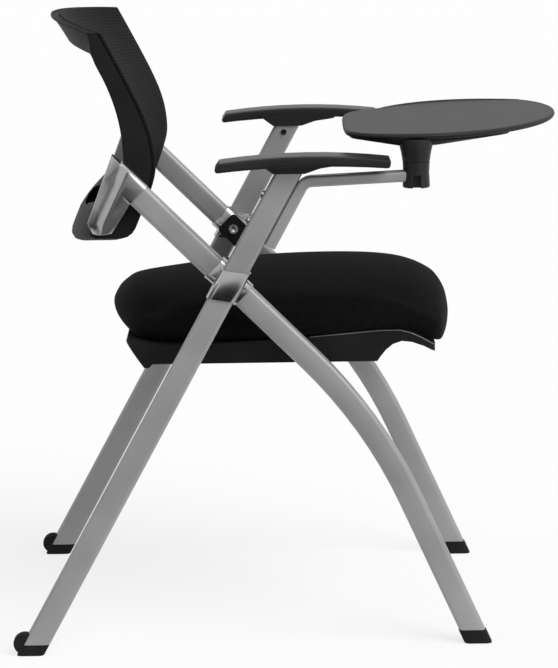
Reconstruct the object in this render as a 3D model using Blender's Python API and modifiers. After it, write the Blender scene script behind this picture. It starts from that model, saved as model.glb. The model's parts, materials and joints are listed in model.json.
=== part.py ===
"""A folding chair with armrests and a swivelling writing tablet, in metres.

+X is the way the sitter faces, +Y the sitter's left and +Z up, with the floor at z = 0.
Points of the side view are (x, z), with x measured from the fold axis where the legs cross.
"""

import math

import bmesh
import bpy
from mathutils import Matrix, Vector

# Driving dimensions of the crossing frame
FOLD_Z = 0.4825
TUBE_WIDE = 0.031
TUBE_THICK = 0.020
TUBE_CORNER = 0.0055
TUBE_WALL = 0.0016
OUTER_Y = 0.251
INNER_Y = 0.223
REAR_LEAN = math.radians(28.8)
UPPER_SLOPE = math.radians(45.0)
FRONT_LEAN = math.radians(24.2)
FRONT_KNEE = (0.1829, 0.2996)
FRONT_BEND_RADIUS = 0.63
BACK_TUBE_END_X = -0.128
BAR_RADIUS = 0.008
BAR_Z = 0.380
GAP = 0.0003

# Feet and rollers
FRONT_FOOT_HEIGHT = 0.018
REAR_PAD_HEIGHT = 0.0145
STEM_LENGTH = 0.024
ROLLER_RADIUS = 0.0145
ROLLER_WIDTH = 0.0094
ROLLER_X = -0.2725
ROLLER_Z = 0.0152
AXLE_RADIUS = 0.002

# Fold joint
COLLAR_LENGTH = 0.041
COLLAR_WALL = 0.0023
COLLAR_END_SLOPE = math.radians(10.0)
SLEEVE_LENGTH = 0.052
SLEEVE_WALL = 0.0020
COVER_THICK = 0.0035
BOLT_RADIUS = 0.004
BOLT_HEAD_RADIUS = 0.0068
BOLT_HEAD_HEIGHT = 0.0022
SPACER_RADIUS = 0.012

# Back
BACK_TOP_Z = 0.7995
BACK_BOTTOM_Z = 0.572
BACK_CROWN = 0.0110
BACK_HALF_TOP = 0.203
BACK_HALF_LOW = 0.2107
BACK_SAG_TOP = 0.062
BACK_SAG_LOW = 0.040
BACK_ROLL_Z = 0.700
MESH_SKIN = 0.0012
MESH_HEM = 0.0040
CARRIER_THICK = 0.0030
CARRIER_WIDTH = 0.017
FRAME_WIDTH = 0.022
TOP_RAIL_HEIGHT = 0.030
LOW_RAIL_HEIGHT = 0.013
ELBOW_INNER_Y = 0.2112
ELBOW_RIDGE_Y = 0.2362
RAIL_DEEP = 0.060
RAIL_TALL = 0.049
RAIL_MID_X = -0.1770
RAIL_MID_Z = 0.5388
RAIL_BOW = 0.0353
RAIL_RISE = 0.0234
RAIL_SHEAR = 0.42
SLOT_LONG = 0.160
SLOT_WIDE = 0.024
SLOT_DEEP = 0.032
SLOT_BEHIND = 0.003

# Armrests
ARM_Y = 0.266
ARM_HALF_WIDTH = 0.0235
ARM_BOSS_HALF = 0.0122
ARM_CORNER = 0.0035
ARM_ROUNDING = 0.0035
ARM_BOSS_Z = 0.6246
ARM_SCREW_Z = 0.6160

# Tablet
TABLET_X = 0.2385
TABLET_Y = -0.251
TABLET_ARM_WIDE = 0.0140
TABLET_ARM_THICK = 0.0200
TABLET_ARM_WALL = 0.0015
TABLET_ARM_LOW = 0.0685
TABLET_ARM_RISE = math.radians(2.4)
TABLET_ARM_BEND = 0.015
TABLET_BOLTS = (0.0856, 0.1233)
BOARD_TOP_Z = 0.6740
BOARD_THICK = 0.0075
BOARD_ROUNDING = 0.0035
LIP_HEIGHT = 0.0022
STIFFENER_THICK = 0.0095
HUB_TOP_RADIUS = 0.0207
HUB_SEAM_RADIUS = 0.0172
HUB_LOW_RADIUS = 0.0164
HUB_SEAM_Z = 0.6375
HUB_LOW_Z = 0.6045
SPINDLE_RADIUS = 0.0060

# Seat
SEAT_REAR_X = -0.162
SEAT_FRONT_X = 0.292
SEAT_HALF = 0.199
PAN_HALF = 0.196
PAN_WALL = 0.003
PAN_LOW_Z = 0.3702
CROWN_HEIGHT = 0.0670
SEAT_BOARD_THICK = 0.006

# The chair's own origin is under the middle of its box, so the fold axis sits behind it.
FOLD_X = -0.0735

REAR_ALONG = Vector((math.sin(REAR_LEAN), math.cos(REAR_LEAN)))
REAR_ACROSS = Vector((math.cos(REAR_LEAN), -math.sin(REAR_LEAN)))
FRONT_DOWN = Vector((math.sin(FRONT_LEAN), -math.cos(FRONT_LEAN)))
UPPER_DOWN = Vector((math.cos(UPPER_SLOPE), -math.sin(UPPER_SLOPE)))
REAR_BAR = ((BAR_Z - FOLD_Z) * math.tan(REAR_LEAN), BAR_Z)
FRONT_BAR = (FOLD_Z - BAR_Z, BAR_Z)
SIDES = {"R": -1, "L": 1}

BODY_AXES = {
    "front_frame": (0, 0, 0),
    "rear_frame": (0, 0, FOLD_Z),
    "seat": (REAR_BAR[0], 0, REAR_BAR[1]),
    "tablet": (TABLET_X, TABLET_Y, HUB_SEAM_Z),
    "roller_R": (ROLLER_X, -OUTER_Y, ROLLER_Z),
    "roller_L": (ROLLER_X, OUTER_Y, ROLLER_Z),
}

for old in list(bpy.data.objects):
    bpy.data.objects.remove(old, do_unlink=True)

PARTS = bpy.data.collections.new("folding_desk_chair")
HELPERS = bpy.data.collections.new("cutters")
bpy.context.scene.collection.children.link(PARTS)
bpy.context.scene.collection.children.link(HELPERS)


def make_material(name, colour, roughness, metallic):
    material = bpy.data.materials.new(name)
    material.use_nodes = True
    shader = material.node_tree.nodes["Principled BSDF"]
    shader.inputs["Base Color"].default_value = (*colour, 1)
    shader.inputs["Roughness"].default_value = roughness
    shader.inputs["Metallic"].default_value = metallic
    return material


MATERIALS = {
    "silver_paint": make_material("silver_paint", (0.30, 0.30, 0.30), 0.45, 0.6),
    "chrome": make_material("chrome", (0.80, 0.80, 0.80), 0.08, 1.0),
    "black_plastic": make_material("black_plastic", (0.012, 0.012, 0.013), 0.5, 0.0),
    "tablet_plastic": make_material("tablet_plastic", (0.13, 0.13, 0.135), 0.6, 0.0),
    "seat_fabric": make_material("seat_fabric", (0.010, 0.010, 0.011), 0.9, 0.0),
    "back_mesh": make_material("back_mesh", (0.020, 0.020, 0.022), 0.8, 0.0),
    "zinc_steel": make_material("zinc_steel", (0.62, 0.62, 0.60), 0.3, 1.0),
    "nylon": make_material("nylon", (0.70, 0.70, 0.66), 0.5, 0.0),
    "plywood": make_material("plywood", (0.45, 0.30, 0.17), 0.7, 0.0),
    "rubber": make_material("rubber", (0.015, 0.015, 0.015), 0.85, 0.0),
}


def make_empty(body, parent):
    empty = bpy.data.objects.new(f"{body}_axis", None)
    PARTS.objects.link(empty)
    place = Vector(BODY_AXES[body])
    if parent:
        empty.parent = AXES[parent]
        empty.location = place - Vector(BODY_AXES[parent])
    else:
        empty.location = place + Vector((FOLD_X, 0, 0))
    return empty


AXES = {}
for body_name, parent_name in (
    ("front_frame", None),
    ("rear_frame", "front_frame"),
    ("seat", "rear_frame"),
    ("tablet", "rear_frame"),
    ("roller_R", "rear_frame"),
    ("roller_L", "rear_frame"),
):
    AXES[body_name] = make_empty(body_name, parent_name)


def add_part(name, mesh, material, body):
    """A sub-part whose origin lies on the axis that its body turns on."""
    mesh.transform(Matrix.Translation(-Vector(BODY_AXES[body])))
    mesh.name = name
    mesh.shade_smooth()
    mesh.set_sharp_from_angle(angle=math.radians(35))
    mesh.materials.append(MATERIALS[material])
    part = bpy.data.objects.new(name, mesh)
    PARTS.objects.link(part)
    part.parent = AXES[body]
    return part


def add_helper(name, mesh):
    helper = bpy.data.objects.new(name, mesh)
    HELPERS.objects.link(helper)
    helper.location.x = FOLD_X
    helper.hide_render = True
    helper.display_type = "WIRE"
    return helper


def combine(part, mesh, operation):
    """Cuts a mesh from a part, or joins it on, with a Boolean that stays live. Returns the mesh's helper."""
    number = len(part.modifiers)
    helper = add_helper(f"{part.name}_{operation.lower()}_{number}", mesh)
    modifier = part.modifiers.new(helper.name, "BOOLEAN")
    modifier.operation = operation
    modifier.object = helper
    return helper


def round_edges(part, width, segments=2, angle=40):
    modifier = part.modifiers.new("rounded_edges", "BEVEL")
    modifier.width = width
    modifier.segments = segments
    modifier.limit_method = "ANGLE"
    modifier.angle_limit = math.radians(angle)
    return part


def wall(part, thickness):
    modifier = part.modifiers.new("wall", "SOLIDIFY")
    modifier.thickness = thickness
    modifier.offset = -1
    modifier.use_even_offset = True
    return part


def mesh_from(bm, name="shape"):
    bmesh.ops.recalc_face_normals(bm, faces=bm.faces)
    mesh = bpy.data.meshes.new(name)
    bm.to_mesh(mesh)
    bm.free()
    return mesh


def filleted(corners, radius, steps=4):
    """A closed outline with every corner rounded. A corner is (x, y) or (x, y, its own radius)."""
    outline = []
    for index, corner in enumerate(corners):
        here = Vector(corner[:2])
        back = (Vector(corners[index - 1][:2]) - here).normalized()
        ahead = (Vector(corners[(index + 1) % len(corners)][:2]) - here).normalized()
        size = corner[2] if len(corner) > 2 else radius
        if size == 0:
            outline.append(here)
            continue
        half_angle = back.angle(ahead) / 2
        middle = here + (back + ahead).normalized() * size / math.sin(half_angle)
        start = here + back * size / math.tan(half_angle) - middle
        end = here + ahead * size / math.tan(half_angle) - middle
        turn = start.angle_signed(end)
        for step in range(steps + 1):
            outline.append(middle + Matrix.Rotation(-turn * step / steps, 2) @ start)
    return outline


def arc_through(first, second, third, steps):
    """Points on the circle through three points, from the first to the third."""
    a, b, c = Vector(first), Vector(second), Vector(third)
    chord = c - a
    normal = Vector((-chord.y, chord.x)).normalized()
    half = chord.length / 2
    rise = (b - (a + c) / 2).dot(normal)
    along = (b - (a + c) / 2).dot(chord.normalized())
    offset = (rise * rise + along * along - half * half) / (2 * rise)
    middle = (a + c) / 2 + normal * offset
    turn = (a - middle).angle_signed(c - middle)
    return [middle + Matrix.Rotation(-turn * step / steps, 2) @ (a - middle) for step in range(steps + 1)]


def curve_mesh(curve, matrix):
    """The mesh of a curve in place, with its caps welded on."""
    guide = bpy.data.objects.new("guide", curve)
    HELPERS.objects.link(guide)
    bpy.context.view_layer.update()
    evaluated = guide.evaluated_get(bpy.context.evaluated_depsgraph_get())
    bm = bmesh.new()
    mesh = bpy.data.meshes.new_from_object(evaluated)
    bm.from_mesh(mesh)
    bpy.data.meshes.remove(mesh)
    bpy.data.objects.remove(guide)
    bmesh.ops.remove_doubles(bm, verts=bm.verts, dist=1e-6)
    bmesh.ops.transform(bm, matrix=matrix, verts=bm.verts)
    return bm


def flat_curve(outlines, cyclic=True):
    curve = bpy.data.curves.new("outline", "CURVE")
    curve.dimensions = "2D"
    for outline in outlines:
        spline = curve.splines.new("POLY")
        spline.points.add(len(outline) - 1)
        for point, place in zip(spline.points, outline):
            point.co = (place[0], place[1], 0, 1)
        spline.use_cyclic_u = cyclic
    return curve


def plate(outline, thickness, matrix, rounding=0.0):
    """A flat outline extruded half its thickness to each side, its rim rounded over if asked."""
    curve = flat_curve([outline])
    curve.fill_mode = "BOTH"
    curve.extrude = thickness / 2 - rounding
    curve.bevel_depth = rounding
    curve.offset = -rounding
    curve.bevel_resolution = 1
    return mesh_from(curve_mesh(curve, matrix))


def standing(y):
    """Carries the side view's (x, z) plane to a given y."""
    return Matrix.Translation((0, y, 0)) @ Matrix.Rotation(math.pi / 2, 4, "X")


def side_plate(outline, y, width, rounding=0.0):
    return plate(outline, width, standing(y), rounding)


def plan_plate(outline, low, high, rounding=0.0):
    return plate(outline, high - low, Matrix.Translation((0, 0, (low + high) / 2)), rounding)


def rounded_box(wide, thick, corner, steps=3):
    x, y = wide / 2, thick / 2
    return filleted([(-x, -y), (x, -y), (x, y), (-x, y)], corner, steps)


def carried(path, sections, matrix):
    """The open shells of one or two sections carried along a flat path."""
    profile = bpy.data.objects.new("section", flat_curve(sections))
    HELPERS.objects.link(profile)
    curve = flat_curve([path], cyclic=False)
    curve.bevel_mode = "OBJECT"
    curve.bevel_object = profile
    bm = curve_mesh(curve, matrix)
    bpy.data.objects.remove(profile)
    return bm


def sweep(path, sections, y, cuts):
    """A bar, or a tube with a second section as its bore, along a side-view path.

    Each of the two cuts is the (point, outward direction) of the plane that ends it.
    """
    bm = carried(path, sections, standing(y))
    for point, outward in cuts:
        everything = bm.verts[:] + bm.edges[:] + bm.faces[:]
        place = Vector((point[0], y, point[1]))
        facing = Vector((outward[0], 0, outward[1])).normalized()
        bmesh.ops.bisect_plane(bm, geom=everything, plane_co=place, plane_no=facing, clear_outer=True)
        rim = [
            edge
            for edge in bm.edges
            if edge.is_boundary and all(abs((vert.co - place).dot(facing)) < 1e-5 for vert in edge.verts)
        ]
        if len(sections) == 2:
            bmesh.ops.triangle_fill(bm, use_beauty=True, edges=rim)
        else:
            bmesh.ops.holes_fill(bm, edges=rim, sides=0)
    return mesh_from(bm)


def straight(start, end):
    """The two end planes of a straight piece, square to it, and a path that reaches past both."""
    first, last = Vector(start), Vector(end)
    along = (last - first).normalized()
    return [first - along * 0.01, last + along * 0.01], [(first, -along), (last, along)]


def level_cuts(low, high):
    return [((0, high), (0, 1)), ((0, low), (0, -1))]


def rod(radius, start, end, segments=16):
    """A round bar between two points."""
    first, last = Vector(start), Vector(end)
    along = last - first
    bm = bmesh.new()
    turn = along.to_track_quat("Z", "Y").to_matrix().to_4x4()
    place = Matrix.Translation((first + last) / 2) @ turn
    bmesh.ops.create_cone(
        bm, cap_ends=True, segments=segments, radius1=radius, radius2=radius, depth=along.length, matrix=place
    )
    return mesh_from(bm)


ALONG_Y = Vector((0, 1, 0))
UPWARD = Vector((0, 0, 1))


def turned(profile, centre, axis=UPWARD, steps=32):
    """A (radius, height) profile spun once about an axis. It is a ring, or starts and ends on the axis."""
    ring = profile[0][0] > 0
    bm = bmesh.new()
    verts = [bm.verts.new((radius, 0, height)) for radius, height in profile]
    first = 0 if ring else 1
    edges = [bm.edges.new((verts[i - 1], verts[i])) for i in range(first, len(verts))]
    bmesh.ops.spin(
        bm, geom=verts + edges, cent=(0, 0, 0), axis=(0, 0, 1), angle=math.tau, steps=steps, use_merge=True
    )
    bmesh.ops.remove_doubles(bm, verts=bm.verts, dist=1e-6)
    turn = axis.to_track_quat("Z", "Y").to_matrix().to_4x4()
    bmesh.ops.transform(bm, matrix=Matrix.Translation(centre) @ turn, verts=bm.verts)
    return mesh_from(bm)


def stepped_rod(steps, start, along, segments=16):
    """A turned rod of (radius, length) steps, from a start point in one direction."""
    profile = [(0, 0)]
    height = 0
    for radius, length in steps:
        profile += [(radius, height), (radius, height + length)]
        height += length
    profile.append((0, height))
    return turned(profile, start, Vector(along), segments)


def box(low, high):
    bm = bmesh.new()
    size = Vector(high) - Vector(low)
    middle = (Vector(high) + Vector(low)) / 2
    bmesh.ops.create_cube(bm, size=1, matrix=Matrix.Translation(middle) @ Matrix.Diagonal((*size, 1)))
    return mesh_from(bm)


def box_section(grow, wide=TUBE_WIDE, thick=TUBE_THICK, corner=TUBE_CORNER):
    """A tube's rounded outline, larger or smaller all round than the tube itself."""
    return rounded_box(wide + 2 * grow, thick + 2 * grow, corner + grow)


TUBE_SECTION = box_section(0)
TUBE_HOLLOW = [TUBE_SECTION, box_section(-TUBE_WALL)]
STEM_SECTION = box_section(-TUBE_WALL - GAP)


def rear_line(along, across=0.0):
    """A point in the rear leg's plane, along it from the fold axis and across it to the front."""
    return Vector((0, FOLD_Z)) + REAR_ALONG * along + REAR_ACROSS * across


def rear_at(z):
    return rear_line((z - FOLD_Z) / math.cos(REAR_LEAN))


def front_path():
    """The front leg's centre line: straight from the elbow, one long bend, straight to the foot."""
    knee = Vector(FRONT_KNEE)
    bend = math.pi / 2 - FRONT_LEAN - UPPER_SLOPE
    tangent = FRONT_BEND_RADIUS * math.tan(bend / 2)
    start = knee - UPPER_DOWN * tangent
    end = knee + FRONT_DOWN * tangent
    middle = start + Vector((-UPPER_DOWN.y, UPPER_DOWN.x)) * -FRONT_BEND_RADIUS
    steps = 8
    arc = [
        middle + Matrix.Rotation(-bend * step / steps, 2) @ (start - middle) for step in range(steps + 1)
    ]
    top = Vector((0, FOLD_Z)) - UPPER_DOWN * 0.20
    foot = end + FRONT_DOWN * 0.24
    return [top, *arc, foot], end


FRONT_PATH, FRONT_BEND_END = front_path()
BACK_TUBE_END = (BACK_TUBE_END_X, FOLD_Z - BACK_TUBE_END_X)


def pivot_hole(side, reach):
    """The bolt's clearance hole, from inside the front tube out to a given |y|."""
    radius = BOLT_RADIUS + GAP
    return rod(radius, (0, side * 0.19, FOLD_Z), (0, side * reach, FOLD_Z))


def build_front_tubes():
    for label, side in SIDES.items():
        y = side * INNER_Y
        cuts = [(BACK_TUBE_END, -UPPER_DOWN), ((0, FRONT_FOOT_HEIGHT + GAP), (0, -1))]
        tube_mesh = sweep(FRONT_PATH, TUBE_HOLLOW, y, cuts)
        tube = add_part(f"front_leg_tube_{label}", tube_mesh, "silver_paint", "front_frame")
        combine(tube, pivot_hole(side, OUTER_Y), "DIFFERENCE")
        leg = [FRONT_BEND_END, FRONT_BEND_END + FRONT_DOWN * 0.24]
        cap_mesh = sweep(leg, [box_section(0.001)], y, level_cuts(0, FRONT_FOOT_HEIGHT))
        cap = add_part(f"front_foot_{label}", cap_mesh, "black_plastic", "front_frame")
        round_edges(cap, 0.0012)
        stem_cuts = level_cuts(FRONT_FOOT_HEIGHT / 2, FRONT_FOOT_HEIGHT + STEM_LENGTH)
        combine(cap, sweep(leg, [STEM_SECTION], y, stem_cuts), "UNION")


def build_rear_tubes():
    line = [rear_line(-0.60), rear_line(0.20)]
    for label, side in SIDES.items():
        y = side * OUTER_Y
        tube_mesh = sweep(line, TUBE_HOLLOW, y, level_cuts(REAR_PAD_HEIGHT + GAP, ARM_BOSS_Z - GAP))
        tube = add_part(f"rear_leg_tube_{label}", tube_mesh, "silver_paint", "rear_frame")
        combine(tube, pivot_hole(side, OUTER_Y), "DIFFERENCE")
        half_slot = TUBE_THICK / 2 - TUBE_WALL - 0.0002
        slot_ends = [(ROLLER_X, y - half_slot, ROLLER_Z), (ROLLER_X, y + half_slot, ROLLER_Z)]
        combine(tube, rod(ROLLER_RADIUS + 0.0013, *slot_ends, 24), "DIFFERENCE")
        screw = rear_at(ARM_SCREW_Z)
        hole = rod(0.0024, (screw.x, side * 0.235, screw.y), (screw.x, side * OUTER_Y, screw.y), 12)
        combine(tube, hole, "DIFFERENCE")
        build_rear_foot(label, y, line, half_slot - GAP)


def build_rear_foot(label, y, line, half_fork):
    pad = sweep(line, [TUBE_SECTION], y, level_cuts(0, REAR_PAD_HEIGHT))
    foot = add_part(f"rear_foot_{label}", pad, "black_plastic", "rear_frame")
    round_edges(foot, 0.001)
    stem_cuts = level_cuts(REAR_PAD_HEIGHT / 2, REAR_PAD_HEIGHT + STEM_LENGTH)
    combine(foot, sweep(line, [STEM_SECTION], y, stem_cuts), "UNION")
    ends = [(ROLLER_X, y - half_fork, ROLLER_Z), (ROLLER_X, y + half_fork, ROLLER_Z)]
    combine(foot, rod(ROLLER_RADIUS - 0.001, *ends, 24), "UNION")
    half_slot = ROLLER_WIDTH / 2 + GAP
    slot = [(ROLLER_X, y - half_slot, ROLLER_Z), (ROLLER_X, y + half_slot, ROLLER_Z)]
    combine(foot, rod(ROLLER_RADIUS + 0.0008, *slot, 24), "DIFFERENCE")
    half_axle = half_fork - GAP
    bore = [(ROLLER_X, y - 2 * half_fork, ROLLER_Z), (ROLLER_X, y + 2 * half_fork, ROLLER_Z)]
    combine(foot, rod(AXLE_RADIUS + GAP, *bore, 12), "DIFFERENCE")
    axle = [(ROLLER_X, y - half_axle, ROLLER_Z), (ROLLER_X, y + half_axle, ROLLER_Z)]
    add_part(f"roller_axle_{label}", rod(AXLE_RADIUS, *axle, 12), "zinc_steel", "rear_frame")
    half, bore_radius, edge = ROLLER_WIDTH / 2, AXLE_RADIUS + GAP, 0.0012
    profile = [
        (bore_radius, half),
        (ROLLER_RADIUS - edge, half),
        (ROLLER_RADIUS, half - edge),
        (ROLLER_RADIUS, edge - half),
        (ROLLER_RADIUS - edge, -half),
        (bore_radius, -half),
    ]
    roller = turned(profile, (ROLLER_X, y, ROLLER_Z), ALONG_Y, 28)
    add_part(f"roller_{label}", roller, "rubber", f"roller_{label}")


def build_crossbars():
    front_reach = INNER_Y - TUBE_THICK / 2 - GAP
    rear_reach = OUTER_Y - TUBE_THICK / 2 - GAP
    for name, place, reach, body in (
        ("front_crossbar", FRONT_BAR, front_reach, "front_frame"),
        ("rear_crossbar", REAR_BAR, rear_reach, "rear_frame"),
    ):
        bore = BAR_RADIUS - TUBE_WALL
        ring = [(bore, reach), (BAR_RADIUS, reach), (BAR_RADIUS, -reach), (bore, -reach)]
        add_part(name, turned(ring, (place[0], 0, place[1]), ALONG_Y, 16), "silver_paint", body)


def build_fold_joint():
    collar_shells = [box_section(COLLAR_WALL + GAP), box_section(GAP)]
    sleeve_shells = [box_section(SLEEVE_WALL + GAP), box_section(GAP)]
    end_facing = Vector((math.sin(COLLAR_END_SLOPE), math.cos(COLLAR_END_SLOPE)))
    centre = Vector((0, FOLD_Z))
    half = UPPER_DOWN * SLEEVE_LENGTH / 2
    for label, side in SIDES.items():
        line = [rear_line(-0.06), rear_line(0.06)]
        cuts = [(rear_line(COLLAR_LENGTH / 2), end_facing), (rear_line(-COLLAR_LENGTH / 2), -end_facing)]
        collar_mesh = sweep(line, collar_shells, side * OUTER_Y, cuts)
        collar = add_part(f"pivot_collar_{label}", collar_mesh, "chrome", "rear_frame")
        combine(collar, pivot_hole(side, OUTER_Y), "DIFFERENCE")
        path, ends = straight(centre - half, centre + half)
        sleeve_mesh = sweep(path, sleeve_shells, side * INNER_Y, ends)
        sleeve = add_part(f"pivot_sleeve_{label}", sleeve_mesh, "chrome", "front_frame")
        combine(sleeve, pivot_hole(side, OUTER_Y), "DIFFERENCE")
        build_pivot_hardware(label, side, centre)


def build_pivot_hardware(label, side, centre):
    sleeve_inside = INNER_Y - TUBE_THICK / 2 - SLEEVE_WALL - GAP
    sleeve_outside = INNER_Y + TUBE_THICK / 2 + SLEEVE_WALL + GAP
    collar_inside = OUTER_Y - TUBE_THICK / 2 - COLLAR_WALL - GAP
    bore = BOLT_RADIUS + GAP
    across = Vector((-UPPER_DOWN.y, UPPER_DOWN.x))
    upper = centre - UPPER_DOWN * (SLEEVE_LENGTH / 2 - 0.010)
    lower = centre + UPPER_DOWN * (SLEEVE_LENGTH / 2 - 0.004)
    half_wide = across * (TUBE_WIDE / 2 + 0.001)
    corners = [upper - half_wide, lower - half_wide, lower + half_wide, upper + half_wide]
    outline = filleted([tuple(corner) for corner in corners], 0.005)
    cover_y = side * (sleeve_inside - GAP - COVER_THICK / 2)
    cover_mesh = side_plate(outline, cover_y, COVER_THICK)
    cover = add_part(f"pivot_cover_{label}", cover_mesh, "black_plastic", "front_frame")
    combine(cover, pivot_hole(side, OUTER_Y), "DIFFERENCE")
    head_y = sleeve_inside - 2 * GAP - COVER_THICK - BOLT_HEAD_HEIGHT
    bolt_end = OUTER_Y - 0.001
    shank = bolt_end - head_y - BOLT_HEAD_HEIGHT
    bolt_steps = [(BOLT_HEAD_RADIUS, BOLT_HEAD_HEIGHT), (BOLT_RADIUS, shank)]
    bolt = stepped_rod(bolt_steps, (0, side * head_y, FOLD_Z), (0, side, 0))
    add_part(f"pivot_bolt_{label}", bolt, "zinc_steel", "front_frame")
    half_spacer = (collar_inside - sleeve_outside) / 2 - GAP
    ring = [(bore, half_spacer), (SPACER_RADIUS, half_spacer)]
    ring += [(SPACER_RADIUS, -half_spacer), (bore, -half_spacer)]
    spacer_y = side * (collar_inside + sleeve_outside) / 2
    spacer = turned(ring, (0, spacer_y, FOLD_Z), ALONG_Y, 24)
    add_part(f"pivot_spacer_{label}", spacer, "nylon", "front_frame")
    nut_inside = OUTER_Y - TUBE_THICK / 2 + TUBE_WALL + GAP
    nut_mesh = rod(0.0072, (0, side * nut_inside, FOLD_Z), (0, side * bolt_end, FOLD_Z), 6)
    nut = add_part(f"pivot_nut_{label}", nut_mesh, "zinc_steel", "rear_frame")
    combine(nut, pivot_hole(side, OUTER_Y + 0.005), "DIFFERENCE")


def back_half_width(z):
    blend = min(max((z - 0.645) / (BACK_TOP_Z - 0.645), 0), 1)
    return BACK_HALF_LOW + (BACK_HALF_TOP - BACK_HALF_LOW) * blend


def back_side_x(z):
    """Front edge of the back at its sides: straight above, a lumbar swell below."""
    above = z - 0.670
    below = 0.622 - z
    lean = 0.54 / 2 * (above + math.hypot(above, 0.04))
    tuck = 0.40 / 2 * (below + math.hypot(below, 0.012))
    return -0.0845 - lean - tuck


def back_point(u, height):
    """A point of the back's front surface, u from -1 at the right to 1 at the left, height 0 to 1.

    It is bowed across, and its middle rolls further back towards the top rail.
    """
    z = BACK_BOTTOM_Z + height * (BACK_TOP_Z - BACK_BOTTOM_Z)
    roll = max(z - BACK_ROLL_Z, 0) / (BACK_TOP_Z - BACK_ROLL_Z)
    sag = BACK_SAG_LOW + (BACK_SAG_TOP - BACK_SAG_LOW) * roll * roll
    x = back_side_x(z) - sag * (1 - u * u)
    return Vector((x, u * back_half_width(z), z + height * BACK_CROWN * (1 - u * u)))


def back_depth(vert):
    """How far back the frame's moulding reaches behind the mesh hem: its side rails deepen to the elbows."""
    low = min(max((0.745 - vert.co.z) / 0.11, 0), 1)
    outward = min(max((abs(vert.co.y) / BACK_HALF_LOW - 0.75) / 0.14, 0), 1)
    rim = min(max((vert.co.z - 0.776) / 0.03, 0), 1)
    return 0.0155 + 0.0115 * low * low * (3 - 2 * low) * outward - 0.006 * rim


def back_grid(sides, top, bottom, inset, columns=14, rows=9):
    """The back's front surface as a grid whose outer cells are given widths, all pulled in by an inset."""
    bm = bmesh.new()
    bmesh.ops.create_grid(bm, x_segments=columns, y_segments=rows, size=1)
    tall = BACK_TOP_Z - BACK_BOTTOM_Z
    edge_u = 1 - inset / BACK_HALF_LOW
    band_u = edge_u - sides / BACK_HALF_LOW
    edge_v = inset / tall
    low = edge_v + bottom / tall
    high = 1 - edge_v - top / tall
    for vert in bm.verts:
        column = round((vert.co.x + 1) / 2 * columns)
        row = round((vert.co.y + 1) / 2 * rows)
        inner = (column - 1) / (columns - 2) * 2 - 1
        u = -edge_u if column == 0 else edge_u if column == columns else inner * band_u
        rise = low + (row - 1) / (rows - 2) * (high - low)
        height = edge_v if row == 0 else 1 - edge_v if row == rows else rise
        vert.co = back_point(u, height)
    return bm


def open_middle(bm):
    """Leaves only the border cells, which touch the grid's rim."""
    inner = [face for face in bm.faces if not any(vert.is_boundary for vert in face.verts)]
    bmesh.ops.delete(bm, geom=inner, context="FACES")


def thicken_back(bm, depth_at):
    """Closes a patch of the back by carrying it rearwards by a depth that varies from point to point."""
    made = bmesh.ops.extrude_face_region(bm, geom=bm.faces[:], use_keep_orig=True)
    for vert in made["geom"]:
        if isinstance(vert, bmesh.types.BMVert):
            vert.co.x -= depth_at(vert)
    return mesh_from(bm)


def shift_back(bm, distance):
    bmesh.ops.translate(bm, vec=(-distance, 0, 0), verts=bm.verts)


def build_back():
    skin = back_grid(CARRIER_WIDTH, CARRIER_WIDTH, CARRIER_WIDTH, 0)
    rim = [edge for edge in skin.edges if edge.is_boundary]
    turned_in = bmesh.ops.extrude_edge_only(skin, edges=rim)
    for vert in turned_in["geom"]:
        if isinstance(vert, bmesh.types.BMVert):
            vert.co.x -= MESH_HEM
    bmesh.ops.recalc_face_normals(skin, faces=skin.faces)
    if max(skin.faces, key=lambda face: face.calc_area()).normal.x < 0:
        bmesh.ops.reverse_faces(skin, faces=skin.faces)
    mesh = bpy.data.meshes.new("back_mesh")
    skin.to_mesh(mesh)
    skin.free()
    wall(add_part("back_mesh", mesh, "back_mesh", "front_frame"), MESH_SKIN)

    carrier = back_grid(CARRIER_WIDTH, CARRIER_WIDTH, LOW_RAIL_HEIGHT, MESH_SKIN + 2 * GAP)
    open_middle(carrier)
    shift_back(carrier, MESH_SKIN + 3 * GAP)
    ring = thicken_back(carrier, lambda vert: CARRIER_THICK)
    add_part("back_carrier", ring, "black_plastic", "front_frame")

    frame = back_grid(FRAME_WIDTH, TOP_RAIL_HEIGHT, LOW_RAIL_HEIGHT, 0)
    open_middle(frame)
    shift_back(frame, MESH_HEM + 0.0018)
    frame_part = add_part("back_frame", thicken_back(frame, back_depth), "black_plastic", "front_frame")
    round_edges(frame_part, 0.0022, 2, 50)


def loft(rings):
    """A closed solid through rings of equal counts of points."""
    bm = bmesh.new()
    loops = [[bm.verts.new(point) for point in ring] for ring in rings]
    for lower, upper in zip(loops, loops[1:]):
        for i in range(len(lower)):
            bm.faces.new((lower[i - 1], lower[i], upper[i], upper[i - 1]))
    bm.faces.new(loops[0])
    bm.faces.new(loops[-1])
    return bm


# Chrome elbow: height, and the x of its rear edge, outer ridge and front edge there.
ELBOW_LEVELS = (
    (0.5460, -0.1722, -0.1600, -0.1475),
    (0.5600, -0.1785, -0.1570, -0.1385),
    (0.5800, -0.1710, -0.1475, -0.1260),
    (0.6050, -0.1615, -0.1345, -0.1150),
    (0.6500, -0.1445, -0.1150, -0.1000),
)
ELBOW_TOP_LINE = 0.5020
SOCKET_FROM_X = -0.1440
SOCKET_TO_X = -0.1130
SOCKET_WALL = 0.0015


def elbow_ring(side, z, rear, ridge, front):
    outer = ELBOW_RIDGE_Y
    points = (
        (rear, ELBOW_INNER_Y),
        (rear, outer - 0.0110),
        ((rear * 2 + ridge) / 3, outer - 0.0052),
        ((rear + ridge * 2) / 3, outer - 0.0014),
        (ridge, outer),
        (front, outer - 0.0075),
        (front, ELBOW_INNER_Y),
    )
    return [(x, side * y, z) for x, y in points]


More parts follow.
